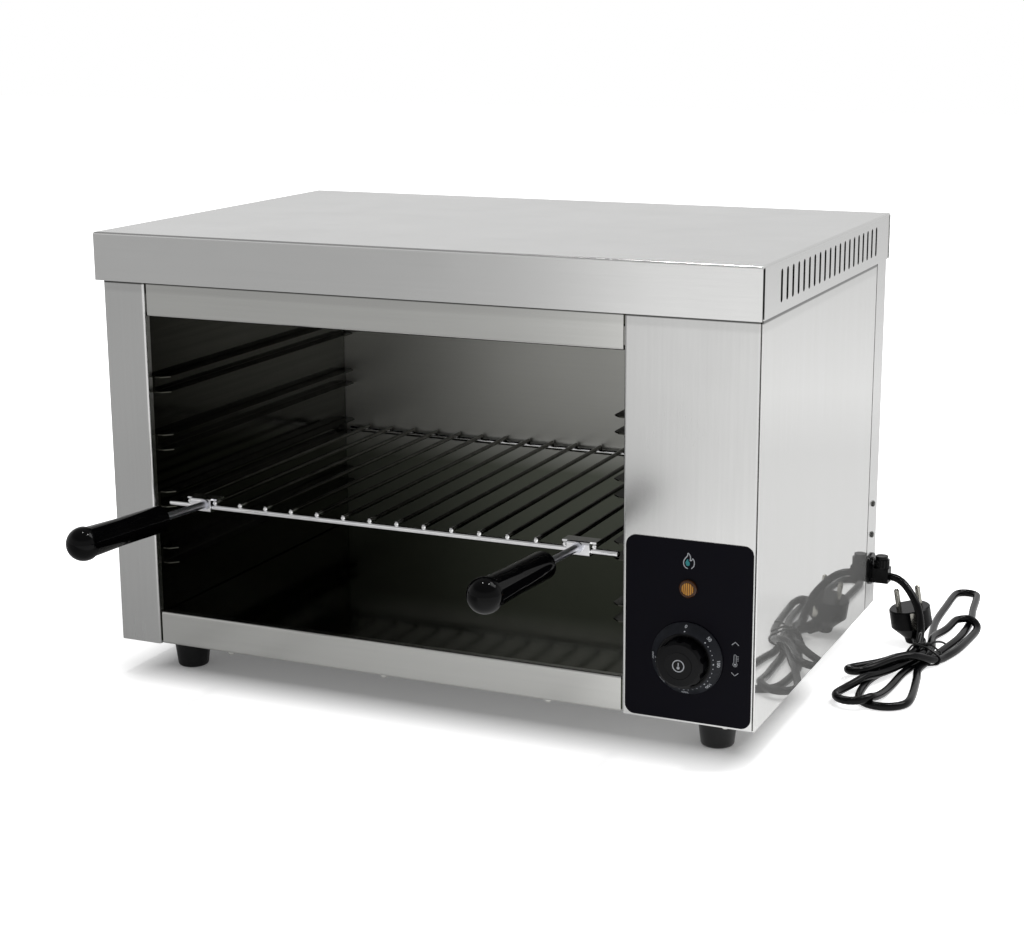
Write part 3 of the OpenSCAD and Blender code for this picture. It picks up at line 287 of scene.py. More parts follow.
@dataclass(frozen=True)
class SheetSteel:
    """Brushed stainless sheet: a straight grain, faint smudges and the soft warps of a thin panel.

    Lengths are in millimetres, and a colour's share runs from 0 to 1.
    """

    name: str
    colour: str = "#d2d2d1"
    shade: str = "#d0d0cf"
    rough: tuple[float, float] = (0.2, 0.22)
    # The axis that it was brushed along.
    grain: Axis = Axis.X
    grain_depth: float = 0.0003
    warp_depth: float = 0.35
    warp_size: float = 190.0
    smudge: float = 0.02
    bare: float = 1.0
    # Height of the lid's lower edge, below which painted shade lies on the sheet.
    edge: float | None = None
    # Height below which the sheet takes painted shade, and the shade's colour.
    lower_shade: tuple[float, str] | None = None
    # Where painted shade fills a gap: its flange's side and its lower end.
    gap: tuple[float, float] | None = None
    # Width and length of the grain's lines. A real grain of 0.1 mm is too fine to show, so it is
    # drawn 0.5 mm wide.
    fine: tuple[float, float] = (0.5, 30.0)
    broad: tuple[float, float] = (2.5, 140.0)
    smudge_size: float = 70.0
    # Painted shade under the lid's edge: how far below it each layer begins and is full, and its share.
    layers: tuple[tuple[float, float, float], ...] = ((11.0, 8.0, 0.1), (3.4, 2.6, 0.9))
    lid_shade: str = "#2e2e2c"
    gap_side: tuple[float, float] = (0.2, 0.5)
    gap_foot: float = 0.6
    gap_shade: str = "#0c0c0b"
    lower_shade_fade: float = 12.0
    # A face counts as one that the grain would run into from this much of its normal on.
    end_on: float = 0.7

    def _streaks(self, graph: Graph, width: float, length: float) -> bpy.types.NodeSocket:
        """Streaks along the grain, turned on faces that the grain would run into."""
        size = [width] * 3
        size[self.grain.value] = length
        turned = [width] * 3
        turned[(self.grain.value + 1) % 3] = length
        facing = graph.add("SeparateXYZ", {0: graph.add("TexCoord", out="Normal")}, self.grain.value)
        flat = graph.add("Math", {0: facing}, operation="ABSOLUTE")
        end_on = graph.add("Math", {0: flat, 1: self.end_on}, operation="GREATER_THAN")
        straight, across = graph.pattern(tuple(size)), graph.pattern(tuple(turned))
        return graph.add("Mix", {SHARE: end_on, FIRST: straight, SECOND: across})

    def _under_lid(self, graph: Graph, tone: bpy.types.NodeSocket) -> bpy.types.NodeSocket:
        """Paints a thin line of shade under the lid's lower edge, and a faint band of painted shade below it.
        """
        height = graph.along(Axis.Z)
        band, line = (graph.add("MapRange", {"Value": height, "From Min": (self.edge - begin) * MM,
                                             "From Max": (self.edge - full) * MM, "To Max": share})
                      for begin, full, share in self.layers)
        share = graph.add("Math", {0: band, 1: line}, operation="MAXIMUM")
        return graph.add("Mix", {SHARE: share, UNDER: tone, OVER: linear(self.lid_shade)}, MIXED,
                         data_type="RGBA")

    def _in_gap(self, graph: Graph, tone: bpy.types.NodeSocket) -> bpy.types.NodeSocket:
        """Paints shade that blackens the flange in the narrow gap at the end of the top rail."""
        side, foot = self.gap
        full, clean = ((side + reach) * MM for reach in self.gap_side)
        beside = graph.add("MapRange", {"Value": graph.along(Axis.X), "From Min": full,
                                        "From Max": clean, "To Min": 1.0, "To Max": 0.0})
        above = graph.add("MapRange", {"Value": graph.along(Axis.Z),
                                       "From Min": (foot - self.gap_foot) * MM, "From Max": foot * MM})
        within = graph.add("Math", {0: beside, 1: above}, operation="MULTIPLY")
        return graph.add("Mix", {SHARE: within, UNDER: tone, OVER: linear(self.gap_shade)}, MIXED,
                         data_type="RGBA")

    def _below_rack(self, graph: Graph, tone: bpy.types.NodeSocket) -> bpy.types.NodeSocket:
        """Darkens the sheet below the rack with painted shade."""
        level, colour = self.lower_shade
        low, high = (level - self.lower_shade_fade) * MM, (level + self.lower_shade_fade) * MM
        below = graph.add("MapRange", {"Value": graph.along(Axis.Z), "From Min": low, "From Max": high,
                                       "To Min": 1.0, "To Max": 0.0})
        return graph.add("Mix", {SHARE: below, UNDER: tone, OVER: linear(colour)}, MIXED, data_type="RGBA")

    def build(self) -> bpy.types.Material:
        """Makes the material."""
        graph = Graph.new(self.name)
        fine = self._streaks(graph, *self.fine)
        broad = self._streaks(graph, *self.broad)
        cloud = graph.pattern((self.smudge_size,) * 3, 3.0)
        warp = graph.pattern((self.warp_size,) * 3, 0.0)
        low, high = self.rough
        gloss = graph.add("MapRange", {"Value": fine, "To Min": low, "To Max": high, **NOISE_SPAN})
        # Smudges from wiping change the gloss a little in soft clouds.
        smear = graph.add("MapRange", {"Value": cloud, "To Min": -self.smudge, "To Max": self.smudge,
                                       **NOISE_SPAN})
        rough = graph.add("Math", {0: gloss, 1: smear}, operation="ADD")
        tone = graph.tone(broad, self.shade, self.colour)
        if self.edge is not None:
            tone = self._under_lid(graph, tone)
        if self.gap is not None:
            tone = self._in_gap(graph, tone)
        if self.lower_shade is not None:
            tone = self._below_rack(graph, tone)
        soft = graph.add("Bump", {"Height": warp, "Strength": 1.0, "Distance": self.warp_depth * MM})
        relief = graph.add("Bump", {"Height": fine, "Strength": 1.0, "Distance": self.grain_depth * MM,
                                    "Normal": soft})
        return graph.finish(Base_Color=tone, Metallic=self.bare, Roughness=rough, Normal=relief)


@dataclass(frozen=True)
class Metal:
    """Bare or plated metal: slight colour variation, fine scratches and handling marks, in millimetres."""

    name: str
    colour: str
    shade: str
    rough: tuple[float, float] = (0.08, 0.18)
    scratch: float = 0.4
    depth: float = 0.003
    scratch_length: float = 4.0
    mark_size: float = 9.0

    def build(self) -> bpy.types.Material:
        """Makes the material."""
        graph = Graph.new(self.name)
        marks = graph.pattern((self.mark_size,) * 3, 3.0)
        lines = graph.pattern((self.scratch, self.scratch_length, self.scratch))
        tone = graph.tone(marks, self.shade, self.colour)
        low, high = self.rough
        rough = graph.add("MapRange", {"Value": lines, "To Min": low, "To Max": high, **NOISE_SPAN})
        relief = graph.add("Bump", {"Height": lines, "Strength": 1.0, "Distance": self.depth * MM})
        return graph.finish(Base_Color=tone, Metallic=1.0, Roughness=rough, Normal=relief)


@dataclass(frozen=True)
class ShadedRod:
    """Bright chromed steel rod, greyed with painted shade everywhere behind the rack's front bar."""

    front: float
    name: str = "chrome_rod_painted_shade"
    # How far behind the front bar the painted shade begins and is full, and the other sizes, in millimetres.
    dulling: tuple[float, float] = (1.0, 6.0)
    stain: tuple[float, float, float] = (6.0, 14.0, 6.0)
    scratch: tuple[float, float, float] = (0.4, 6.0, 0.4)
    depth: float = 0.003
    rough: tuple[float, float] = (0.08, 0.16)

    def build(self) -> bpy.types.Material:
        """Makes the material."""
        graph = Graph.new(self.name)
        stains = graph.pattern(self.stain, 3.0)
        lines = graph.pattern(self.scratch)
        # Painted shade: behind the front bar the rod is grey, with stains at random.
        shaded = graph.tone(stains, "#55544f", "#6b6a65")
        begin, full = ((self.front + reach) * MM for reach in self.dulling)
        inside = graph.add("MapRange", {"Value": graph.along(Axis.Y), "From Min": begin,
                                        "From Max": full})
        tone = graph.add("Mix", {SHARE: inside, UNDER: linear("#f0f0f0"), OVER: shaded}, MIXED,
                         data_type="RGBA")
        low, high = self.rough
        rough = graph.add("MapRange", {"Value": lines, "To Min": low, "To Max": high, **NOISE_SPAN})
        relief = graph.add("Bump", {"Height": lines, "Strength": 1.0, "Distance": self.depth * MM})
        return graph.finish(Base_Color=tone, Metallic=1.0, Roughness=rough, Normal=relief)


@dataclass(frozen=True)
class Polymer:
    """Moulded plastic or rubber: mottled colour, a moulded skin and a set gloss, sized in millimetres."""

    name: str
    colour: str
    shade: str
    rough: tuple[float, float] = (0.3, 0.4)
    level: float = 0.5
    skin: float = 0.8
    depth: float = 0.01
    dust: str | None = None
    # Where in the skin's pattern the dust begins and is thickest, and its share there.
    dusting: tuple[float, float, float] = (0.5, 0.75, 0.25)
    mottle: float = 14.0

    def build(self) -> bpy.types.Material:
        """Makes the material."""
        graph = Graph.new(self.name)
        grainy = graph.pattern((self.skin,) * 3)
        cloud = graph.pattern((self.mottle,) * 3, 3.0)
        tone = graph.tone(cloud, self.shade, self.colour)
        if self.dust:
            # Fine dust lies in the moulded skin.
            begin, full, share = self.dusting
            dusty = graph.add("MapRange", {"Value": grainy, "From Min": begin, "From Max": full,
                                           "To Max": share})
            tone = graph.add("Mix", {SHARE: dusty, UNDER: tone, OVER: linear(self.dust)}, MIXED,
                             data_type="RGBA")
        low, high = self.rough
        rough = graph.add("MapRange", {"Value": cloud, "To Min": low, "To Max": high, **NOISE_SPAN})
        relief = graph.add("Bump", {"Height": grainy, "Strength": 1.0, "Distance": self.depth * MM})
        return graph.finish(Base_Color=tone, Roughness=rough, Specular_IOR_Level=self.level, Normal=relief)


@dataclass(frozen=True)
class DialPlastic:
    """Satin moulded dial: a matt black grip and a conical skirt, a little paler as a painted sheen."""

    centre: tuple[float, float, float]
    name: str = "satin_dial"
    grip: float = 22.0
    blur: float = 0.3
    skin: float = 0.6
    mottle: float = 9.0
    depth: float = 0.006
    rough: tuple[float, float] = (0.3, 0.4)
    level: float = 0.13

    def build(self) -> bpy.types.Material:
        """Makes the material."""
        graph = Graph.new(self.name)
        radius = graph.add("VectorMath", {0: graph.off_centre(self.centre)}, "Value", operation="LENGTH")
        skirt = graph.add("MapRange", {"Value": radius, "From Min": self.grip - self.blur,
                                       "From Max": self.grip + self.blur})
        grainy = graph.pattern((self.skin,) * 3)
        cloud = graph.pattern((self.mottle,) * 3, 3.0)
        # Painted sheen: the skirt is a paler grey than the black grip.
        painted_sheen = graph.tone(cloud, "#202227", "#2b2d33")
        black = graph.tone(cloud, "#040406", "#070709")
        tone = graph.add("Mix", {SHARE: skirt, UNDER: black, OVER: painted_sheen}, MIXED, data_type="RGBA")
        low, high = self.rough
        rough = graph.add("MapRange", {"Value": cloud, "To Min": low, "To Max": high, **NOISE_SPAN})
        relief = graph.add("Bump", {"Height": grainy, "Strength": 1.0, "Distance": self.depth * MM})
        return graph.finish(Base_Color=tone, Roughness=rough, Specular_IOR_Level=self.level, Normal=relief)


@dataclass(frozen=True)
class AmberLens:
    """Moulded amber lens: a golden face with fine upright ribs inside a darker fluted rim."""

    centre: tuple[float, float, float]
    name: str = "amber_lens"
    face: float = 4.9
    rim_fade: tuple[float, float] = (0.25, 0.15)
    # The ribs are 0.9 mm apart; this scale draws them 1.7 mm apart, as finer ones would not show.
    rib_scale: float = 0.19
    rib_waver: float = 2.2
    rib_depth: float = 0.1
    patch: float = 5.0
    # Strength of the painted glow that stands in for daylight scattering within the lens.
    glow: float = 0.16

    def build(self) -> bpy.types.Material:
        """Makes the material."""
        graph = Graph.new(self.name)
        flat = graph.off_centre(self.centre)
        radius = graph.add("VectorMath", {0: flat}, "Value", operation="LENGTH")
        rim = graph.add("MapRange", {"Value": radius, "From Min": self.face - self.rim_fade[0],
                                     "From Max": self.face + self.rim_fade[1]})
        ribs = graph.add("TexWave", {"Vector": flat, "Scale": self.rib_scale, "Distortion": self.rib_waver,
                                     "Detail": 1.0, "Detail Scale": 0.8}, "Fac", bands_direction="X")
        ridges = graph.add("MapRange", {"Value": ribs, "From Min": 0.25, "From Max": 0.75})
        gold = graph.add("Mix", {SHARE: ridges, UNDER: linear("#5a3204"), OVER: linear("#e0a030")}, MIXED,
                         data_type="RGBA")
        cloud = graph.pattern((self.patch,) * 3)
        patches = graph.add("MapRange", {"Value": cloud, "To Max": 0.35, **NOISE_SPAN})
        gold = graph.add("Mix", {SHARE: patches, UNDER: gold, OVER: linear("#7a4a0c")}, MIXED,
                         data_type="RGBA")
        tone = graph.add("Mix", {SHARE: rim, UNDER: gold, OVER: linear("#4a2706")}, MIXED, data_type="RGBA")
        # Painted glow: amber in the face, near black in the rim.
        glow = graph.add("Mix", {SHARE: rim, UNDER: linear("#b5761c"), OVER: linear("#1a0d02")}, MIXED,
                         data_type="RGBA")
        relief = graph.add("Bump", {"Height": ribs, "Strength": 1.0, "Distance": self.rib_depth * MM})
        return graph.finish(Base_Color=tone, Roughness=0.2, Specular_IOR_Level=0.25, Coat_Weight=0.15,
                            Coat_Roughness=0.05, Emission_Color=glow, Emission_Strength=self.glow,
                            Normal=relief)


@dataclass(frozen=True)
class Wool:
    """Mineral-wool board: matted yellow-brown fibres with darker tufts."""

    name: str = "mineral_wool_board"
    fibre: tuple[float, float, float] = (1.2, 6.0, 1.2)
    tuft: tuple[float, float, float] = (18.0, 18.0, 10.0)
    depth: float = 0.6

    def build(self) -> bpy.types.Material:
        """Makes the material."""
        graph = Graph.new(self.name)
        fibres = graph.pattern(self.fibre, 6.0)
        tone = graph.tone(graph.pattern(self.tuft, 4.0), "#a3946a", "#c9bd92")
        dark = graph.add("MapRange", {"Value": fibres, "To Max": 0.4, **NOISE_SPAN})
        tone = graph.add("Mix", {SHARE: dark, UNDER: tone, OVER: linear("#7d6d47")}, MIXED, data_type="RGBA")
        relief = graph.add("Bump", {"Height": fibres, "Strength": 1.0, "Distance": self.depth * MM})
        return graph.finish(Base_Color=tone, Roughness=0.95, Normal=relief)


# Finishes that more than one sub-assembly wears: zinc-plated screws and shafts, a bluish satin
# grey, and moulded ivory plastic, dull like china.
ZINC = Metal("zinc_plate", "#cfd0cc", "#b9bab4", (0.22, 0.34))
IVORY = Polymer("moulded_ivory", "#d8d2c2", "#cbc4b2", (0.4, 0.5))


@dataclass
class Palette:
    """Every finish of the part, each made once."""

    made: dict[str, bpy.types.Material] = field(default_factory=dict)

    def take(self, finish: Finish) -> bpy.types.Material:
        """Makes a finish the first time it is asked for."""
        if finish.name not in self.made:
            self.made[finish.name] = finish.build()
        return self.made[finish.name]


@dataclass
class SubAssembly:
    """A group of the frame's nodes that belong together on the appliance."""

    nodes: dict[str, bpy.types.Object]
    palette: Palette

    def dress(self, finish: Finish, *names: str) -> None:
        """Puts one finish on nodes, for good on each node's own slots.

        Args:
            finish: the finish that they take.
            names: the nodes' names; one that ends in * stands for all that start so.
        """
        material = self.palette.take(finish)
        for name in names:
            found = [n for n in self.nodes if n == name or name.endswith("*") and n.startswith(name[:-1])]
            if not found:
                raise ValueError(f"no node called {name}")
            for node in found:
                obj = self.nodes[node]
                while len(obj.material_slots) < 1:
                    obj.data.materials.append(material)
                for slot in obj.material_slots:
                    slot.link = "OBJECT"
                    slot.material = material
                LOG.info("node %s dressed in %s", node, finish.name)


# ---- Camera ----


@dataclass(frozen=True)
class Viewpoint:
    """Where the camera stands: place in metres, turns in degrees, lens in millimetres."""

    place: tuple[float, float, float] = (0.7073, -1.46858, 0.5825)
    azimuth: float = 24.32
    elevation: float = 13.56
    roll: float = -0.36
    lens: float = 69.73
    sensor: float = 36.0
    clip: tuple[float, float] = (0.05, 60.0)

    def build(self) -> bpy.types.Object:
        """Makes the camera and sets it as the scene's own."""
        az, el = math.radians(self.azimuth), math.radians(self.elevation)
        ahead = Vector((-math.sin(az) * math.cos(el), math.cos(az) * math.cos(el), -math.sin(el)))
        level = Vector((math.cos(az), math.sin(az), 0.0))
        right = Matrix.Rotation(math.radians(self.roll), 3, -ahead) @ level
        up = right.cross(ahead)
        data = bpy.data.cameras.new("camera")
        data.lens = self.lens
        data.sensor_width = self.sensor
        data.sensor_fit = "HORIZONTAL"
        data.clip_start, data.clip_end = self.clip
        camera = link(bpy.data.objects.new("camera", data))
        turn = Matrix((right, up, -ahead)).transposed().to_4x4()
        camera.matrix_world = Matrix.Translation(self.place) @ turn
        bpy.context.scene.camera = camera
        return camera


# ---- Mains cord ----


@dataclass(frozen=True)
class Bight:
    """A fold of the tied hank: half a turn, placed from the cord's exit, in millimetres.

    Its heading is where the fold points, in degrees from +X, and its turn is 1 for anticlockwise.
    """

    centre: tuple[float, float]
    radius: float
    heading: float
    turn: int
    rise: tuple[float, float]
    parts: int = 6

    def points(self) -> list[tuple[float, float, float]]:
        """Points round the fold, from the strand that comes in to the one that goes back."""
        a = math.radians(self.heading)
        out = Vector((math.cos(a), math.sin(a)))
        side = Vector((out.y, -out.x)) * self.turn
        found = []
        for k in range(self.parts + 1):
            t = math.radians(180 / self.parts * k - 90)
            spot = Vector(self.centre) + (out * math.cos(t) - side * math.sin(t)) * self.radius
            found.append((spot.x, spot.y, self.rise[0] + (self.rise[1] - self.rise[0]) * k / self.parts))
        return found


@dataclass
class Settling:
    """Lets a drawn cord sink onto the floor and onto itself, as its own weight would.

    Only the moves are smoothed, so that the drawn bends keep their radius. Sizes are in millimetres.
    """

    radius: float
    step: float
    plug: Vector
    rounds: int = 160
    sink: float = 0.03
    reach: float = 1.3
    ease: float = 0.45
    # Strands climb over each other more readily than they slide sideways.
    climb: float = 1.6
    # Points nearer along the cord than this many radii belong to one bend and don't push each other.
    apart: float = 5.0
    # How often the moves are smoothed in a round, and in the last rounds.
    smoothing: int = 3
    last_smoothing: int = 1
    last_rounds: int = 30
    # Half the plug's width at heights above the floor, and the height up to which it is in the way.
    plug_heights: tuple[float, ...] = (0.0, 8.0, 20.0, 34.0)
    plug_widths: tuple[float, ...] = (8.5, 10.5, 19.5, 19.5)
    plug_top: float = 40.0

    def _part(self, line: np.ndarray, free: np.ndarray) -> np.ndarray:
        """Pushes strands apart where they lie closer than one diameter."""
        away = line[:, None] - line[None]
        far = np.linalg.norm(away, axis=2)
        index = np.arange(len(line))
        between = abs(index[:, None] - index[None]) * self.step
        near = (far < 2 * self.radius) & (between > self.apart * self.radius)
        depth = np.where(near, 2 * self.radius - far, 0.0)
        unit = away / np.maximum(far, 1e-6)[..., None]
        unit[..., 2] *= self.climb
        push = (unit * depth[..., None]).sum(1) / np.maximum(near.sum(1), 1)[:, None]
        return line + self.ease * push * free[:, None]

    def _clear_plug(self, line: np.ndarray, free: np.ndarray) -> np.ndarray:
        """Keeps strands out of the plug that stands among them."""
        away = line[:, :2] - np.array(self.plug[:2])
        far = np.linalg.norm(away, axis=1)
        wide = np.interp(line[:, 2], self.plug_heights, self.plug_widths) + self.radius
        depth = np.where(line[:, 2] < self.plug_top, np.maximum(wide - far, 0.0), 0.0) * free
        line[:, :2] += away / np.maximum(far, 1e-6)[:, None] * depth[:, None]
        return line

    @staticmethod
    def _smooth(moves: np.ndarray, free: np.ndarray, times: int) -> np.ndarray:
        """Spreads the moves along the cord, as its stiffness does."""
        for _ in range(times):
            moves[1:-1] = 0.25 * moves[:-2] + 0.5 * moves[1:-1] + 0.25 * moves[2:]
        return moves * free[:, None]

    def run(self, line: np.ndarray, free: np.ndarray) -> np.ndarray:
        """Settles a line of points in millimetres.

        Args:
            line: the points, one step apart.
            free: how far each point may move, from 0 to 1.

        Returns:
            The settled points.
        """
        moves = np.zeros_like(line)
        lowest = self.radius - line[:, 2]
        for k in range(self.rounds):
            here = line + moves
            pushed = self._clear_plug(self._part(here, free), free) - here
            pushed[:, 2] -= self.sink * free
            times = self.smoothing if k < self.rounds - self.last_rounds else self.last_smoothing
            moves = self._smooth(moves + self.reach * pushed, free, times)
            moves[:, 2] = np.where(free > 0, np.maximum(moves[:, 2], lowest), moves[:, 2])
        return line + moves


@dataclass
class WireTie:
    """Twisted wire tie drawn tight round the strands at the hank's waist, with two free ends.

    Sizes are in millimetres.
    """

    middle: Vector
    strand: float
    wire: float = 0.9
    step: float = 1.2
    # How far the tie stands off the strands' centre lines beyond their radius.
    slack: float = 0.8
    # Which strands it holds: within this far along the hank, across it and up from the middle.
    hold: tuple[float, float, float] = (2.5, 26.0, 14.0)
    # How far the ring's upright leans to the rear, and how far it rises.
    tilt: tuple[float, float] = (0.42, 0.91)
    # The ring: its points, the turn in degrees of the first, their spacing and how far each is further along.
    ring_points: int = 46
    ring_start: float = 128.0
    ring_step: float = 8.0
    ring_pitch: float = 0.03
    # The twist: its points, how far apart they lie, how far they turn and how wide they stand.
    twist_points: int = 10
    twist_pitch: float = 1.7
    twist_turn: float = 1.5
    twist_radius: float = 0.95
    twist_way: tuple[float, float] = (0.91, 0.41)
    # The free end that rises: its points, how far each is onward and up, and how it droops.
    rising: tuple[int, float, float, float] = (8, 1.5, 0.75, 0.1)
    # The free end that falls: its points, and how far each is onward, aside and down.
    falling: tuple[int, float, float, float] = (7, 0.9, 1.5, 0.55)

    def build(self, line: np.ndarray, finish: bpy.types.Material) -> bpy.types.Object:
        """Makes the tie.

        Args:
            line: the cord's settled centre line.
            finish: the tie's material.

        Returns:
            The tie's piece.
        """
        ring = self._ring(line, Vector((1.0, 0.0, 0.0)), Vector((0.0, *self.tilt)))
        right, lift = Vector((*self.twist_way, 0.0)), Vector((0.0, 0.0, 1.0))
        turned = right.cross(lift)
        root = ring[-1].lerp(ring[0], 0.5) + lift * self.wire
        first, second = [], []
        for k in range(1, self.twist_points + 1):
            for strand, phase in ((first, 0.0), (second, math.pi)):
                a = phase + self.twist_turn * k
                swing = (lift * math.sin(a) + turned * math.cos(a)) * self.twist_radius
                strand.append(root + right * self.twist_pitch * k + swing)
        count, onward, up, droop = self.rising
        rising = [first[-1] + right * onward * k + lift * (up * k - droop * k * k)
                  for k in range(1, count + 1)]
        count, onward, aside, down = self.falling
        falling = [second[-1] + right * onward * k + turned * aside * k - lift * down * k
                   for k in range(1, count + 1)]
        drawn = smooth_line([*reversed(rising), *reversed(first), *ring, *second, *falling], self.step)
        tie = curve_piece("wire_tie", [p * MM for p in drawn], self.wire * MM, 3)
        return seat(tie, Body.CASING, finish)

    def _ring(self, line: np.ndarray, across: Vector, up: Vector) -> list[Vector]:
        """Points round the strands, each as far out as the outermost strand that way."""
        along = across.cross(up)
        held = []
        for point in line:
            away = Vector(point) - self.middle
            reaches = (abs(away.dot(along)), abs(away.x), abs(away.dot(up)))
            if all(reach < most for reach, most in zip(reaches, self.hold)):
                held.append((away.dot(across), away.dot(up)))
        reach = self.strand / 2 + self.slack
        ring = []
        for k in range(self.ring_points):
            a = math.radians(self.ring_start - self.ring_step * k)
            ray = (math.cos(a), math.sin(a))
            x, y = max(held, key=lambda p: p[0] * ray[0] + p[1] * ray[1])
            place = self.middle + across * (x + reach * ray[0]) + up * (y + reach * ray[1])
            place += along * self.ring_pitch * k
            place.z = max(place.z, self.wire)
            ring.append(place)
        return ring


@dataclass
class MainsCord(SubAssembly):
    """Rubber-sheathed mains cord: a drop from the gland, then a tied hank that ends in its plug.

    Sizes are in millimetres and turned into metres when the pieces are made.
    """

    diameter: float = 7.0
    step: float = 4.0
    exit_height: float = 60.9
    hank_top: float = 21.0
    # The drop from the gland: offset in plan, and the share of the drop that is behind it.
    lead: tuple[tuple[float, float, float], ...] = (
        (0, 0, 0), (6, -1, 0.01), (13, -4, 0.07), (20, -8, 0.2), (26, -12.5, 0.36),
        (30.5, -16.5, 0.52), (33.5, -20, 0.7), (35.2, -23, 0.85),
    )
    # The hank: offset in plan and height above the floor, with a fold at the end of each loop.
    hank: tuple[tuple[float, float, float] | Bight, ...] = (
        # Down to the tie, and out along the uppermost loop on the near side.
        (37.2, -31, 18.5), (36.7, -52, 10), (24, -76, 10.8),
        Bight((5, -115), 11, 237, 1, (13, 17.5)),
        # Back over the waist to the outermost strand of the short far loop.
        (29, -90, 17.5), (43, -73, 14.5), (53, -57, 7.5), (60, -38, 3.7), (66, -15, 3.6), (69.5, 15, 3.6),
        Bight((61, 52), 10.2, 88, 1, (5, 11.5)),
        # Back through the tie to the long near loop.
        (48, 28, 12), (42, -4, 12), (44, -52, 10), (37, -76, 10.4), (21, -115, 10.4),
        Bight((15.5, -174), 16, 250, 1, (10.4, 10.4)),
        # Flat on the floor to the long far loop.
        (35, -132, 6), (36, -90, 3.6), (40.3, -52, 3.6), (40.4, -15, 3.6), (36, 15, 3.6), (31, 60, 3.6),
        (30, 110, 3.6),
        Bight((40.5, 154), 10.5, 90, -1, (3.6, 3.6)),
        # Back to the wide round near loop, which ends beside the plug.
        (56, 112, 3.6), (62, 70, 3.6), (61, 20, 3.6), (54, -20, 3.6), (47.6, -52, 3.6), (46, -80, 3.6),
        (51, -105, 3.6),
        Bight((37, -161), 21, 272, -1, (3.6, 3.6)),
        (15, -120, 3.6), (25, -80, 3.6), (33, -52, 3.6),
    )
    plug_from_exit: tuple[float, float] = (25.0, 1.5)
    tail_turn: float = -62.0
    tail_reach: float = 24.0
    tail_run: float = 9.0
    tail_height: float = 7.5
    tie_from_exit: tuple[float, float] = (44.0, -52.0)
    tie_height: float = 8.0
    # How the cord comes free after the drop, stays held at the plug, and stiffens before that.
    loosening: float = 40.0
    held: float = 14.0
    stiffening: float = 20.0

    def _exit(self) -> Vector:
        """Where the cord leaves the gland."""
        low, high = box_mm("gland_body")
        return Vector((high.x, (low.y + high.y) / 2, self.exit_height))

    def _route(self, start: Vector) -> tuple[list[Vector], int]:
        """Draws the route of the cord.

        Args:
            start: where the cord leaves the gland.

        Returns:
            The route's points, and how many of them belong to the drop from the gland.
        """
        drop = start.z - self.hank_top
        points = [start + Vector((x, y, -share * drop)) for x, y, share in self.lead]
        drawn = len(points)
        foot = Vector((start.x, start.y, 0.0))
        for part in self.hank:
            points += [foot + Vector(p) for p in (part.points() if isinstance(part, Bight) else [part])]
        turn = math.radians(self.tail_turn)
        along = Vector((math.cos(turn), math.sin(turn), 0.0))
        heel = foot + Vector((*self.plug_from_exit, self.tail_height))
        points += [heel + along * (self.tail_reach + self.tail_run), heel + along * self.tail_reach]
        return points, drawn

    def build(self) -> None:
        """Makes the cord and its tie, and dresses the gland and the plug."""
        # Soft glossy vinyl sheath: near black, with a fine sheen along the strands.
        sheath = self.palette.take(Polymer("cord_vinyl", "#060608", "#040405", (0.15, 0.2), 0.17, 0.6, 0.003))
        # Satin vinyl on the tie's wire, a shade paler than the cord.
        tie_sheath = self.palette.take(Polymer("tie_wire_vinyl", "#0d0d0e", "#0a0a0a", (0.35, 0.45), 0.4))
        start = self._exit()
        points, drawn = self._route(start)
        lead_length = sum((b - a).length for a, b in zip(points[:drawn], points[1:drawn]))
        line = np.array([tuple(p) for p in smooth_line(points, self.step)])
        walked = np.concatenate([[0.0], np.cumsum(np.linalg.norm(np.diff(line, axis=0), axis=1))])
        from_drop = np.clip((walked - lead_length) / self.loosening, 0.0, 1.0)
        to_plug = np.clip((walked[-1] - walked - self.held) / self.stiffening, 0.0, 1.0)
        plug = start + Vector((*self.plug_from_exit, 0.0))
        line = Settling(self.diameter / 2, self.step, plug).run(line, from_drop * to_plug)
        places = [Vector(p) * MM for p in line]
        cord = curve_piece("mains_cord", places, self.diameter / 2 * MM, 6)
        seat(cord, Body.CASING, sheath)
        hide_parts("cord_lead", "cord_hank")
        waist = (start.x + self.tie_from_exit[0], start.y + self.tie_from_exit[1], self.tie_height)
        tie = WireTie(Vector(waist), self.diameter).build(line, tie_sheath)
        # Moulded nylon: black, with a low sheen on its edges.
        gland = Polymer("black_nylon", "#070708", "#050506", (0.22, 0.3), 0.16, 0.8, 0.008)
        self.dress(gland, "gland_body", "gland_nut", "gland_clamp")
        # Moulded vinyl: black, with long soft glints over the plug's rounded body.
        plug_vinyl = Polymer("plug_vinyl", "#060608", "#040405", (0.2, 0.28), 0.12, 0.7, 0.01)
        self.dress(plug_vinyl, "plug_body", "cord_lead", "cord_hank")
        # Nickel plate, dulled by use.
        self.dress(Metal("nickel_plate", "#a9a7a0", "#96948c", (0.14, 0.24)), "plug_contacts")


# ---- Printed marks ----


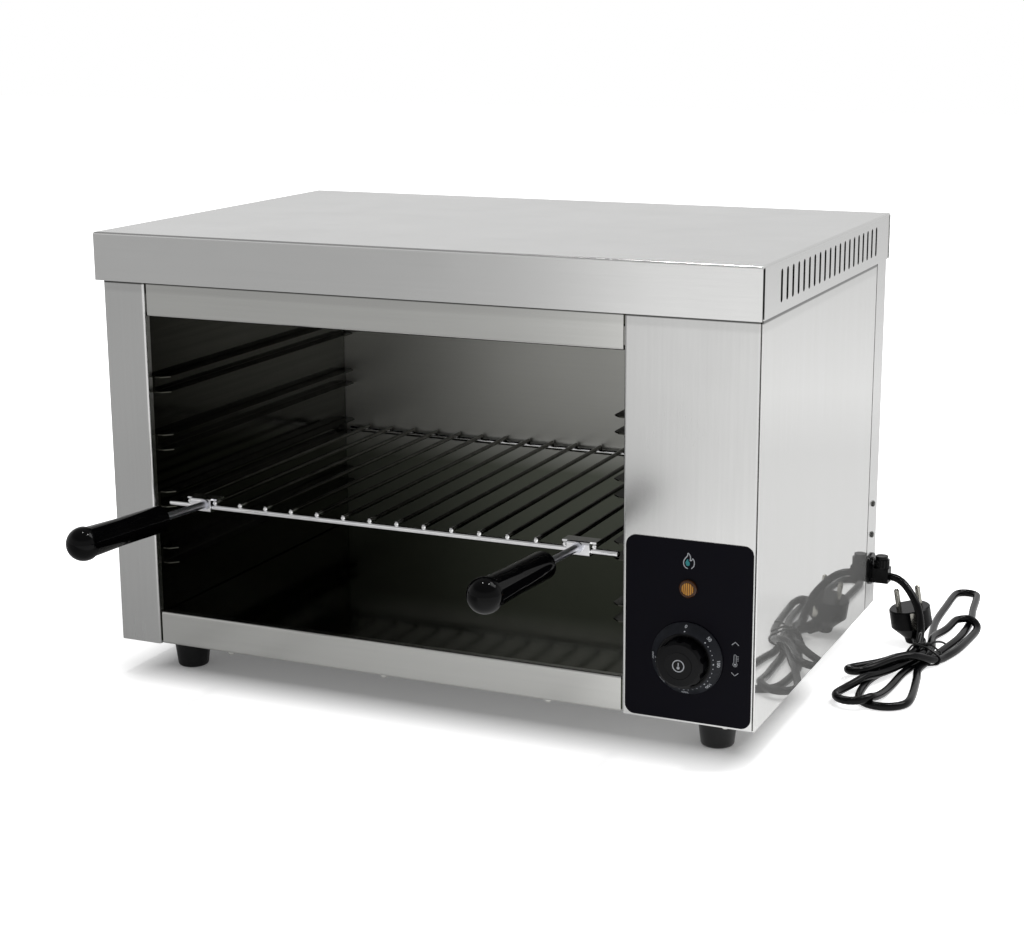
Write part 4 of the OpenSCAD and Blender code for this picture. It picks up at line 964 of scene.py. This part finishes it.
@dataclass
class Print:
    """Flat printed marks, laid as a thin film on a surface of the part.

    Marks are drawn in millimetres on a local plane and placed by a matrix in metres.
    """

    name: str
    shape: bmesh.types.BMesh = field(default_factory=bmesh.new)
    # Height of a figure as a share of the type size, and how much bolder than the font it is.
    figure_share: float = 0.7
    bold: float = 0.1

    def patch(self, place: Matrix, outline: Sequence[tuple[float, float]]) -> None:
        """Adds one filled outline."""
        corners = [self.shape.verts.new(place @ Vector((x * MM, y * MM, 0.0))) for x, y in outline]
        self.shape.faces.new(corners)

    def disc(self, place: Matrix, radius: float, sides: int = 16) -> None:
        """Adds a filled circle."""
        turns = [2 * math.pi * k / sides for k in range(sides)]
        self.patch(place, [(radius * math.cos(a), radius * math.sin(a)) for a in turns])

    def line(self, place: Matrix, points: Sequence[tuple[float, float]], width: float,
             closed: bool = False) -> None:
        """Adds a line of even width along points.

        Args:
            place: the plane that it lies on.
            points: the points of its middle.
            width: how wide it is.
            closed: whether it runs back to its first point.
        """
        places = [Vector(p) for p in points]
        count = len(places)
        rims = []
        for k, here in enumerate(places):
            before = places[k - 1] if closed or k else here
            after = places[(k + 1) % count] if closed or k < count - 1 else here
            along = (after - before).normalized()
            side = Vector((-along.y, along.x)) * width / 2
            corners = [place @ Vector((*(p * MM), 0.0)) for p in (here + side, here - side)]
            rims.append([self.shape.verts.new(corner) for corner in corners])
        pairs = list(zip(rims, rims[1:])) + ([(rims[-1], rims[0])] if closed else [])
        for (a, b), (c, d) in pairs:
            self.shape.faces.new((a, b, d, c))

    def text(self, place: Matrix, words: str, height: float) -> None:
        """Adds plain figures of that height, centred on the place."""
        data = bpy.data.curves.new("figures", "FONT")
        data.body, data.size = words, height / self.figure_share * MM
        data.align_x, data.align_y = "CENTER", "CENTER"
        data.resolution_u = 4
        data.offset = self.bold * MM
        obj = link(bpy.data.objects.new("figures", data))
        bpy.context.view_layer.update()
        mesh = bpy.data.meshes.new_from_object(obj.evaluated_get(bpy.context.evaluated_depsgraph_get()))
        mesh.transform(place)
        self.shape.from_mesh(mesh)
        bpy.data.objects.remove(obj)
        bpy.data.curves.remove(data)
        bpy.data.meshes.remove(mesh)

    def build(self, body: Body, slot: Slot, ink: bpy.types.Material) -> bpy.types.Object:
        """Ends the film as one piece."""
        return seat(mesh_piece(self.name, self.shape), body, ink)


@dataclass
class ControlMarks:
    """Pictograms on the control plate: a flame over the lamp, and a thermometer by the dial.

    Sizes and outlines are in millimetres.
    """

    centre: Vector
    lamp_z: float
    dial_z: float
    proud: float = 0.06
    flame: tuple[tuple[float, float], ...] = (
        (-1.0, -5.8), (-3.0, -4.9), (-4.3, -2.6), (-4.1, 0.2), (-2.7, 2.6), (-1.3, 4.3), (-0.9, 6.4),
        (0.7, 4.6), (1.1, 2.4), (0.8, 0.6), (2.0, 0.9), (2.9, 2.4), (3.9, 1.0), (4.2, -1.4),
        (3.6, -3.8), (1.9, -5.5),
    )
    heart: tuple[tuple[float, float], ...] = (
        (-2.2, -3.4), (-3.0, -1.2), (-1.9, 0.8), (-0.9, 1.9), (-0.6, 0.2), (0.6, -1.1), (0.4, -2.9),
        (-0.8, -3.9),
    )
    flame_at: tuple[float, float] = (0.2, 21.5)
    flame_step: float = 0.7
    flame_width: float = 0.7
    # The thermometer and its arrowheads, from the dial's middle.
    meter_at: tuple[float, float] = (38.1, 3.3)
    arrows: tuple[tuple[float, int], ...] = ((16.3, 1), (-8.1, -1))
    arrow: tuple[float, float] = (2.8, 1.2)
    arrow_width: float = 0.55
    tube: tuple[tuple[float, float], ...] = (
        (-0.9, -2.2), (-0.9, 3.4), (-0.5, 4.2), (0.5, 4.2), (0.9, 3.4), (0.9, -2.2),
    )
    bulb_z: float = -3.6
    bulb_radius: float = 1.7
    bulb_fill: float = 0.8
    glass_width: float = 0.4
    ticks: tuple[float, ...] = (3.2, 2.0, 0.8, -0.4)
    tick: tuple[float, float] = (1.7, 2.8)
    tick_width: float = 0.35

    def _place(self, x: float, z: float) -> Matrix:
        """Plane on the plate, facing the front."""
        turn = Matrix.Rotation(math.radians(90), 4, "X")
        foot = ((self.centre.x + x) * MM, (self.centre.y - self.proud) * MM, z * MM)
        return Matrix.Translation(foot) @ turn

    def build(self, white: bpy.types.Material, teal: bpy.types.Material) -> None:
        """Makes the white and the teal print."""
        film, accent = Print("plate_print"), Print("plate_print_teal")
        spot = self._place(self.flame_at[0], self.lamp_z + self.flame_at[1])
        curved = smooth_line([Vector((*p, 0.0)) for p in self.flame], self.flame_step)
        film.line(spot, [(p.x, p.y) for p in curved], self.flame_width)
        accent.patch(spot, self.heart)
        side, rise = self.meter_at
        half, tip = self.arrow
        for height, way in self.arrows:
            head = [(-half, -tip * way), (0.0, tip * way), (half, -tip * way)]
            film.line(self._place(side, self.dial_z + height), head, self.arrow_width)
        stem = self._place(side, self.dial_z + rise)
        turns = np.radians(range(32, 330, 16))
        bulb = [(self.bulb_radius * math.sin(a), self.bulb_z + self.bulb_radius * math.cos(a)) for a in turns]
        film.line(stem, self.tube, self.glass_width)
        film.line(stem, bulb, self.glass_width)
        film.disc(stem @ Matrix.Translation((0, self.bulb_z * MM, 0)), self.bulb_fill)
        for height in self.ticks:
            film.line(stem, [(self.tick[0], height), (self.tick[1], height)], self.tick_width)
        film.build(Body.CASING, Slot.CONTROL_FILM, white)
        accent.build(Body.CASING, Slot.CONTROL_FILM, teal)


@dataclass
class DialMarks:
    """Scale on the dial's conical skirt and the pictogram on its cap, in millimetres and degrees."""

    centre: Vector
    # Radius and height of the skirt at its rim and at its top.
    rim: tuple[float, float] = (28.7, 1.6)
    top: tuple[float, float] = (21.5, 9.5)
    cap_height: float = 21.0
    proud: float = 0.06
    figures: tuple[str, ...] = ("0", "50", "100", "150", "200", "250", "300")
    figure_turn: float = 45.0
    figure_radius: float = 26.3
    figure_height: float = 2.7
    # Five dots to a figure: their circle, and the radius of the first, the long and the short ones.
    dot_count: int = 26
    dot_turn: float = 9.0
    dot_circle: float = 23.35
    dot_radii: tuple[float, float, float] = (0.62, 0.66, 0.42)
    # The cap's ring, and the thermometer within it.
    ring_radius: float = 4.5
    ring_width: float = 0.8
    bulb_radius: float = 1.2
    bulb_drop: float = 1.5
    stem_ends: tuple[float, float] = (-1.0, 2.6)
    stem_width: float = 0.9

    def _on_skirt(self, turn: float, radius: float) -> Matrix:
        """Plane on the cone at a turn clockwise from the top, its up side away from the axis."""
        a = math.radians(turn)
        radial = Vector((math.sin(a), 0.0, math.cos(a)))
        right = Vector((math.cos(a), 0.0, -math.sin(a)))
        out = Vector((0.0, -1.0, 0.0))
        run, rise = self.rim[0] - self.top[0], self.top[1] - self.rim[1]
        up = (radial * run - out * rise).normalized()
        normal = right.cross(up)
        height = self.rim[1] + (self.rim[0] - radius) / run * rise
        foot = self.centre + radial * radius + out * height + normal * self.proud
        return Matrix.Translation(foot * MM) @ Matrix((right, up, normal)).transposed().to_4x4()

    def _on_cap(self) -> Matrix:
        """Plane on the cap, facing the front."""
        foot = self.centre + Vector((0.0, -self.cap_height - self.proud, 0.0))
        return Matrix.Translation(foot * MM) @ Matrix.Rotation(math.radians(90), 4, "X")

    def build(self, ink: bpy.types.Material) -> None:
        """Makes the scale and the cap's print."""
        scale = Print("dial_scale")
        for k, words in enumerate(self.figures):
            scale.text(self._on_skirt(self.figure_turn * k, self.figure_radius), words, self.figure_height)
        first, long, short = self.dot_radii
        scale.disc(self._on_skirt(0.0, self.dot_circle), first)
        for k in range(self.dot_count):
            spot = self._on_skirt(self.figure_turn + self.dot_turn * k, self.dot_circle)
            scale.disc(spot, short if k % 5 else long)
        scale.build(Body.DIAL, Slot.DIAL_PLASTIC, ink)
        cap = Print("dial_cap_print")
        spot = self._on_cap()
        turns = np.radians(range(0, 360, 10))
        ring = [(self.ring_radius * math.cos(a), self.ring_radius * math.sin(a)) for a in turns]
        cap.line(spot, ring, self.ring_width, True)
        cap.disc(spot @ Matrix.Translation((0, -self.bulb_drop * MM, 0)), self.bulb_radius)
        cap.line(spot, [(0.0, end) for end in self.stem_ends], self.stem_width)
        cap.build(Body.DIAL, Slot.DIAL_CAP, ink)


# ---- Studio ----


@dataclass(frozen=True)
class SoftLamp:
    """Soft rectangular lamp aimed at a point, in metres and watts."""

    name: str
    place: tuple[float, float, float]
    aim: tuple[float, float, float]
    size: float
    power: float

    def build(self) -> bpy.types.Object:
        """Makes the lamp."""
        data = bpy.data.lights.new(self.name, "AREA")
        data.shape = "RECTANGLE"
        data.size = data.size_y = self.size
        data.energy = self.power
        lamp = link(bpy.data.objects.new(self.name, data))
        lamp.location = self.place
        lamp.rotation_euler = (Vector(self.aim) - Vector(self.place)).to_track_quat("-Z", "Y").to_euler()
        return lamp


@dataclass(frozen=True)
class Ramp:
    """A strength that changes evenly from low to high while a value runs from start to end."""

    start: float
    end: float
    low: float
    high: float

    def links(self, value: bpy.types.NodeSocket) -> dict[str, Any]:
        """What the node that maps the value takes."""
        spans = {"From Min": self.start, "From Max": self.end, "To Min": self.low, "To Max": self.high}
        return {"Value": value, **spans}


@dataclass
class Studio:
    """Plain pale floor and plain soft light.

    The floor is white to the lens with the part's shadow on it. In the steel it shows as a floor
    that is brighter to the right, as beside a wide window. Lengths are in metres.
    """

    floor_size: float = 16.0
    # Farther out than the floor's edge.
    off_floor: float = 9.0
    floor_colour: str = "#cfcfcf"
    seen_colour: str = "#f4f4f4"
    # Half the patch of floor under the part where the shadow stays deepest.
    shadow_patch: tuple[float, float, float] = (0.262, 0.064, 0.0)
    # Glow that the lens sees on the floor, by the distance from that patch.
    near_glow: Ramp = Ramp(0.0, 0.055, 0.08, 0.7)
    far_glow: Ramp = Ramp(0.12, 0.6, 0.0, 0.5)
    # What the steel mirrors of the floor: brighter to the front right, fainter to the rear.
    slant: tuple[float, float, float] = (1.0, -0.44, 0.0)
    window: Ramp = Ramp(0.17, 0.36, 0.0, 0.68)
    rearward: Ramp = Ramp(-0.3, 0.3, 1.0, 0.38)
    # A ring of shine far out, and a pool of it close to the front.
    far_ring: Ramp = Ramp(1.1, 1.5, 0.0, 0.16)
    pool_place: tuple[float, float, float] = (0.12, -0.3, 0.0)
    pool: Ramp = Ramp(0.05, 0.5, 0.38, 0.05)
    # The world's strength as light, and what the steel mirrors of it below and above the horizon.
    ambient: float = 0.42
    wall: Ramp = Ramp(0.4, 0.6, 0.79, 0.35)
    lamps: tuple[SoftLamp, ...] = (
        SoftLamp("key", (1.3, 0.9, 2.1), (0.0, 0.0, 0.2), 1.2, 22.0),
        # Two small lamps overhead put the crisp glints on the black mouldings.
        SoftLamp("glint_right", (0.75, 0.15, 2.2), (0.1, 0.0, 0.1), 0.13, 8.0),
        SoftLamp("glint_left", (-0.35, -0.1, 2.3), (0.0, -0.1, 0.1), 0.13, 7.0),
    )

    def _glow(self, graph: Graph, place: bpy.types.NodeSocket) -> bpy.types.NodeSocket:
        """Glow that lifts the floor to white for the lens, away from the shadow's darkest patch."""
        folded = graph.add("VectorMath", {0: place}, operation="ABSOLUTE")
        beyond = graph.add("VectorMath", {0: folded, 1: self.shadow_patch}, operation="SUBTRACT")
        beyond = graph.add("VectorMath", {0: beyond, 1: (0.0, 0.0, 0.0)}, operation="MAXIMUM")
        clear = graph.add("VectorMath", {0: beyond}, "Value", operation="LENGTH")
        near = graph.add("MapRange", self.near_glow.links(clear))
        far = graph.add("MapRange", self.far_glow.links(clear))
        halo = graph.add("Math", {0: near, 1: far}, operation="ADD")
        return graph.add("Emission", {"Strength": halo})

    def _shine(self, graph: Graph, place: bpy.types.NodeSocket) -> bpy.types.NodeSocket:
        """Shine of the floor as the steel mirrors it."""
        # Behind the part's middle the floor counts as if it lay at the middle.
        rearmost = (self.off_floor, 0.0, self.off_floor)
        front = graph.add("VectorMath", {0: place, 1: rearmost}, operation="MINIMUM")
        slant = graph.add("VectorMath", {0: front, 1: self.slant}, "Value", operation="DOT_PRODUCT")
        depth = graph.add("SeparateXYZ", {0: place}, Axis.Y.value)
        fade = graph.add("MapRange", self.rearward.links(depth))
        window = graph.add("MapRange", self.window.links(slant))
        spread = graph.add("Math", {0: window, 1: fade}, operation="MULTIPLY")
        away = graph.add("VectorMath", {0: place}, "Value", operation="LENGTH")
        nearby = graph.add("VectorMath", {0: place, 1: self.pool_place}, "Value", operation="DISTANCE")
        ring = graph.add("MapRange", self.far_ring.links(away))
        pool = graph.add("MapRange", self.pool.links(nearby))
        rings = graph.add("Math", {0: ring, 1: pool}, operation="ADD")
        shone = graph.add("Math", {0: spread, 1: rings}, operation="ADD")
        return graph.add("Emission", {"Strength": shone})

    def _floor(self) -> bpy.types.Object:
        """Floor that the lens sees as white, with the part's shadow kept."""
        shape = bmesh.new()
        bmesh.ops.create_grid(shape, x_segments=2, y_segments=2, size=self.floor_size / 2)
        floor = mesh_piece("studio_floor", shape)
        graph = Graph.new("studio_floor")
        place = graph.add("TexCoord", out="Object")
        lit = graph.add("BsdfDiffuse", {"Color": linear(self.floor_colour)})
        pale = graph.add("BsdfDiffuse", {"Color": linear(self.seen_colour)})
        seen = graph.add("AddShader", {0: pale, 1: self._glow(graph, place)})
        mirrored = graph.add("AddShader", {0: lit, 1: self._shine(graph, place)})
        glossy = graph.add("LightPath", out="Is Glossy Ray")
        camera = graph.add("LightPath", out="Is Camera Ray")
        mix = graph.add("MixShader", {0: glossy, 1: lit, 2: mirrored})
        mix = graph.add("MixShader", {0: camera, 1: mix, 2: seen})
        graph.add("OutputMaterial", {"Surface": mix})
        floor.data.materials.append(graph.material)
        return floor

    def _world(self) -> None:
        """White to the lens, pale near the horizon in reflections, and softer as light."""
        world = bpy.data.worlds.new("studio")
        bpy.context.scene.world = world
        world.use_nodes = True
        world.node_tree.nodes.clear()
        graph = Graph(world)
        height = graph.add("SeparateXYZ", {0: graph.add("TexCoord", out="Generated")}, Axis.Z.value)
        mirrored = graph.add("MapRange", self.wall.links(height))
        white, soft, wall = (
            graph.add("Background", {"Color": (1.0, 1.0, 1.0, 1.0), "Strength": strength})
            for strength in (1.0, self.ambient, mirrored)
        )
        mix = graph.add("MixShader", {0: graph.add("LightPath", out="Is Glossy Ray"), 1: soft, 2: wall})
        for ray in ("Is Transmission Ray", "Is Camera Ray"):
            mix = graph.add("MixShader", {0: graph.add("LightPath", out=ray), 1: mix, 2: white})
        graph.add("OutputWorld", {0: mix})

    def build(self) -> None:
        """Makes the floor, the world and the lamps."""
        bpy.context.scene.view_settings.view_transform = "Standard"
        self._floor()
        self._world()
        for lamp in self.lamps:
            lamp.build()


# ---- Dressing of the frame ----


@dataclass
class Casing(SubAssembly):
    """Lid, sides, fascia, rails of the opening, rear panel, base pan, feet and screws."""

    def build(self) -> None:
        """Dresses the casing."""
        # Painted shade lies under the lid's lower edge on the rails, the post, the fascia and the side.
        edge = box_mm("lid")[0].z
        # Brushed stainless sheet, ground along its length: a soft sheen with fine lines across the front.
        self.dress(SheetSteel("brushed_sheet_across"), "lid", "rear_panel", "base_pan")
        rail = SheetSteel("brushed_sheet_rail", "#c5c5c2", "#c2c2bf", edge=edge)
        self.dress(rail, "top_rail", "bottom_rail")
        # Brushed upright: the lines run down the post and the fascia.
        # Its colour, darker than the lid's, is painted shade on the post and the fascia.
        upright = SheetSteel("brushed_sheet_upright", "#c8c8c7", "#c5c5c4", (0.24, 0.26), Axis.Z, edge=edge)
        self.dress(upright, "left_side")
        # Painted shade blackens the fascia's flange in the gap at the end of the top rail.
        gap = (box_mm("control_fascia")[0].x, box_mm("top_rail")[0].z)
        fascia = replace(upright, name="brushed_sheet_fascia", gap=gap)
        self.dress(fascia, "control_fascia")
        # The finely ground side greys what it mirrors, as a part of the light scatters in its skin.
        polished = SheetSteel("polished_side_sheet", "#dcdcdb", "#d8d8d6", (0.02, 0.035), Axis.Z,
                              grain_depth=0.0001, warp_depth=0.2, warp_size=240.0, smudge=0.01, bare=0.68,
                              edge=edge)
        self.dress(polished, "right_side")
        # Moulded rubber: dull black, with a little dust in its skin.
        rubber = Polymer("black_foot_rubber", "#0d0d0e", "#09090a", (0.4, 0.5), 0.3, 1.0, 0.02, "#1c1c1b")
        self.dress(rubber, "feet")
        # Screw plate painted lighter on the screws under the front edge as a painted highlight, and darker on
        # those of the rear panel as painted shade.
        self.dress(Metal("screw_plate_painted_highlight", "#dcdcd8", "#cacac6", (0.2, 0.3)), "base_screws")
        self.dress(Metal("screw_plate_painted_shade", "#6a6a68", "#50504e", (0.25, 0.38)), "panel_screws")
        self.dress(ZINC, "foot_screws")


@dataclass
class Oven(SubAssembly):
    """Liner, rack rails and heaters."""

    shade_below_rack: float = 14.0

    def build(self) -> None:
        """Dresses the oven."""
        level = middle_mm("rack_back_bar").z - self.shade_below_rack
        # Bright-rolled sheet, blurred by use and creased, with painted brown-green shade below the rack.
        back = SheetSteel("oven_back_sheet", "#c1c1bc", "#bfbfba", (0.38, 0.39), Axis.X,
                          grain_depth=0.0002, warp_depth=0.7, warp_size=150.0, bare=0.8,
                          lower_shade=(level, "#7c8074"))
        self.dress(back, "liner_back")
        # Bright-rolled sheet under baked fat: dark, and still a mirror.
        walls = SheetSteel("oven_wall_sheet", "#3c3c37", "#34342f", (0.08, 0.14), Axis.Y,
                           grain_depth=0.001, warp_depth=0.6, warp_size=140.0)
        self.dress(walls, "liner_left", "liner_right", "liner_ceiling", "rack_rail_*")
        # The floor keeps its polish under a greenish film of fat.
        floor = SheetSteel("oven_floor_sheet", "#54574b", "#4f5246", (0.06, 0.11), Axis.X,
                           grain_depth=0.0006, warp_depth=0.5, warp_size=150.0)
        self.dress(floor, "liner_floor")
        # Steel sheath that heat has turned brown and dull, on hangers of spring strip.
        sheath = Metal("heat_tinted_sheath", "#6f6a62", "#4e4a45", (0.35, 0.5))
        self.dress(sheath, "heater_front", "heater_rear")
        self.dress(Metal("spring_steel_strip", "#a8a8a2", "#8f8f88", (0.2, 0.3)), "heater_hangers")


@dataclass
class Rack(SubAssembly):
    """Sliding wire rack with its brackets, handle rods and grips."""

    def build(self) -> None:
        """Dresses the rack."""
        # Chrome plate over drawn wire: near white, with sharp dark lines of what it mirrors.
        chrome = Metal("chrome_wire", "#f0f0f0", "#e2e2e4", (0.05, 0.12))
        self.dress(chrome, "rack_front_bar", "rack_back_bar", "handle_bracket_*")
        self.dress(ShadedRod(box_mm("rack_front_bar")[1].y), "rack_rods")
        # Drawn rod: a satin grey with fine lines.
        self.dress(Metal("drawn_rod", "#dadbe0", "#cdced4", (0.3, 0.4), 0.3, 0.004), "handle_rod_*")
        # Moulded phenolic: deep gloss black with small crisp glints.
        grip = Polymer("gloss_thermoset", "#060607", "#040405", (0.04, 0.06), 0.1, 1.5, 0.001)
        self.dress(grip, "grip_*")


@dataclass
class Controls(SubAssembly):
    """Control plate, indicator lamp, dial and thermostat, with the marks printed on them."""

    def build(self) -> None:
        """Dresses the controls and adds the printed marks."""
        # Printed polyester film: near black with a violet cast and hardly any shine.
        film = Polymer("satin_film", "#0b0a13", "#090810", (0.42, 0.5), 0.06, 0.5, 0.003)
        self.dress(film, "control_plate")
        lens, dial = middle_mm("lamp_lens"), middle_mm("dial_knob")
        self.dress(AmberLens(tuple(lens)), "lamp_lens")
        self.dress(DialPlastic(tuple(dial)), "dial_knob", "dial_cap")
        self.dress(IVORY, "thermostat_body", "lamp_holder")
        self.dress(ZINC, "thermostat_shaft", "thermostat_screws")
        # Drawn copper: warm, with the dull sheen of a tube that heat has darkened.
        self.dress(Metal("drawn_copper", "#c98a66", "#b4734f", (0.2, 0.34)), "thermostat_bulb")
        # Screen-printed inks: flat, white and blue-green.
        white = self.palette.take(Polymer("white_print", "#d9dce2", "#cfd2d8", (0.5, 0.6), 0.2, 0.5, 0.002))
        teal = self.palette.take(Polymer("teal_print", "#4aa4a9", "#42989d", (0.5, 0.6), 0.2, 0.5, 0.002))
        low, high = box_mm("control_plate")
        face = Vector(((low.x + high.x) / 2, low.y, dial.z))
        ControlMarks(face, lens.z, dial.z).build(white, teal)
        DialMarks(face).build(white)


@dataclass
class Inside(SubAssembly):
    """Insulation and wiring, which only show when the casing is opened."""

    def build(self) -> None:
        """Dresses what the casing hides."""
        self.dress(Wool(), "insulation_*")
        self.dress(IVORY, "terminal_block")
        # Silicone sleeve: red-brown and matt.
        self.dress(Polymer("silicone_sleeve", "#7a3b2a", "#6a2f20", (0.45, 0.55), 0.4), "wiring")
        # Plain brass: yellow, with a soft sheen.
        self.dress(Metal("plain_brass", "#cfae62", "#b8954a", (0.2, 0.32)), "heater_terminals", "earth_stud")


def main() -> None:
    """Builds the whole scene over the loaded frame."""
    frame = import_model()
    palette = Palette()
    Viewpoint().build()
    for part in (MainsCord, Casing, Oven, Rack, Controls, Inside):
        part(frame["nodes"], palette).build()
    Studio().build()


if __name__ == "__main__":
    logging.basicConfig(level=logging.INFO)
    main()
